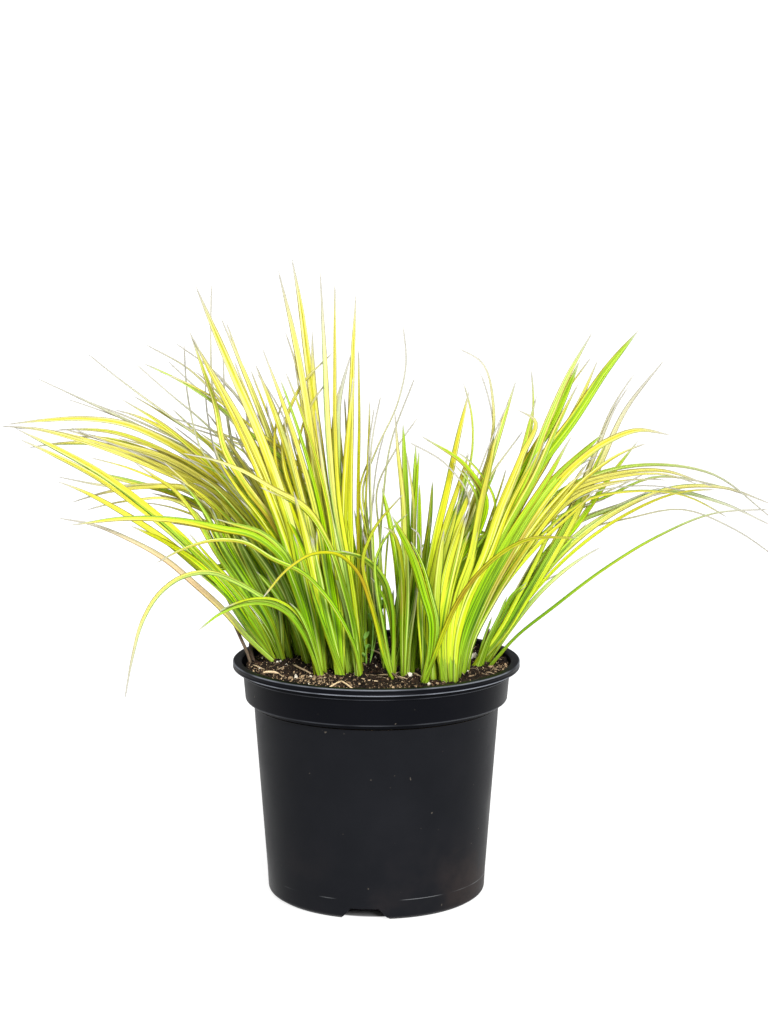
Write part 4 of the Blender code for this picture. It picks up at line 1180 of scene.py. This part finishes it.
# The weed seedling's leaves, each as its stem's foot and head, then its leaf's tip and width, in millimetres
SEEDLING = (
    ((-4, -6, 142), (-1.5, -6, 172), (4.5, -8, 180), 4.2),
    ((-4, -6, 142), (-2, -6, 169), (-5, -7, 174), 2.4),
    ((-4, -6, 142), (3, -5, 178), (6.5, -6, 184), 3),
    ((-6.5, -6, 142), (-7.5, -7, 158), (-4.5, -8, 163), 2.8),
    ((-6.5, -6, 142), (-7, -6, 152), (-3.5, -8, 154.5), 2.6),
    ((-6.5, -6, 142), (-6.5, -6, 147), (-9.5, -8, 149.5), 2.2),
)


def make_weed(material):
    """A small weed seedling between the two clumps: thin stems with a little curled leaf at each head."""
    bm = bmesh.new()
    layer = bm.verts.layers.float.new("tone")
    for foot, head, tip, width in SEEDLING:
        foot, head, tip = (Vector(point) * MM for point in (foot, head, tip))
        add_strand(bm, layer, [foot, (foot + head) / 2 + Vector((0.6 * MM, 0.0, 0.0)), head], 0.3 * MM, 0.5)
        along = tip - head
        across = along.cross(Vector((0.0, 1.0, 0.3))).normalized()
        through = across.cross(along).normalized()
        rows, steps = [], 8
        for i in range(steps + 1):
            t = i / steps
            middle = head + along * t + through * math.sin(t * math.pi) * 0.9 * MM
            wide = width / 2 * MM * math.sin(math.pi * (0.08 + 0.88 * t)) ** 0.8
            row = []
            for u, v in SECTION:
                cup = u * u * 0.35 * wide
                row.append(bm.verts.new(middle + across * wide * u + through * (0.18 * MM * v + cup)))
            rows.append(row)
        cap_and_skin(bm, rows)
    new_piece("weed_seedling", bm, material, "leaf")


def make_stage():
    bpy.ops.mesh.primitive_plane_add(size=12.0, location=(0.0, 0.0, -0.0004))
    floor = bpy.context.object
    floor.name = "pale_floor"
    floor.data.materials.append(floor_material())
    floor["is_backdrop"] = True


def add_sun(name, way, spread, strength):
    """A soft far light that shines along the way given."""
    data = bpy.data.lights.new(name, "SUN")
    data.angle = math.radians(spread)
    data.energy = strength
    add_object(name, data).rotation_euler = Vector(way).to_track_quat("-Z", "Y").to_euler()


def make_light():
    """A white room that looks brighter than it lights, with soft lights in front, low down and overhead."""
    world = bpy.data.worlds.new("white_room")
    world.use_nodes = True
    nodes = world.node_tree.nodes
    background = nodes["Background"]
    background.inputs["Color"].default_value = (1.0, 1.0, 1.0, 1.0)
    seen = nodes.new("ShaderNodeLightPath").outputs["Is Camera Ray"]
    strength = nodes.new("ShaderNodeMapRange")
    strength.inputs["To Min"].default_value = ROOM_LIGHT
    strength.inputs["To Max"].default_value = ROOM_WHITE
    world.node_tree.links.new(seen, strength.inputs["Value"])
    world.node_tree.links.new(strength.outputs["Result"], background.inputs["Strength"])
    bpy.context.scene.world = world
    add_sun("front", (-0.30, 1.0, -0.58), 20.0, 3.8)
    add_sun("overhead", (0.15, 0.15, -1.0), 60.0, 1.3)
    add_sun("low", (0.10, 1.0, -0.15), 60.0, 0.6)


def make_camera():
    data = bpy.data.cameras.new("camera")
    data.sensor_fit = "VERTICAL"
    data.sensor_height = SENSOR
    data.lens = SENSOR * FOCUS / PICTURE_HEIGHT
    data.shift_x = SHIFT / PICTURE_HEIGHT
    data.clip_start = 0.05
    camera = add_object("camera", data)
    camera.location = EYE
    camera.rotation_euler = (math.pi / 2 - LOOK_DOWN, 0.0, 0.0)
    bpy.context.scene.camera = camera
    bpy.context.scene.view_settings.view_transform = "Standard"


def write_size():
    rows = [list(corner) for box in (CAD_BOX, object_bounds()) for corner in box]


make_camera()
make_light()
make_stage()
make_fans(leaf_material())
make_pot(pot_material())
make_soil(soil_material())
make_crumbs(crumb_material())
make_perlite(perlite_material())
make_litter(straw_material())
make_weed(weed_material())
write_size()
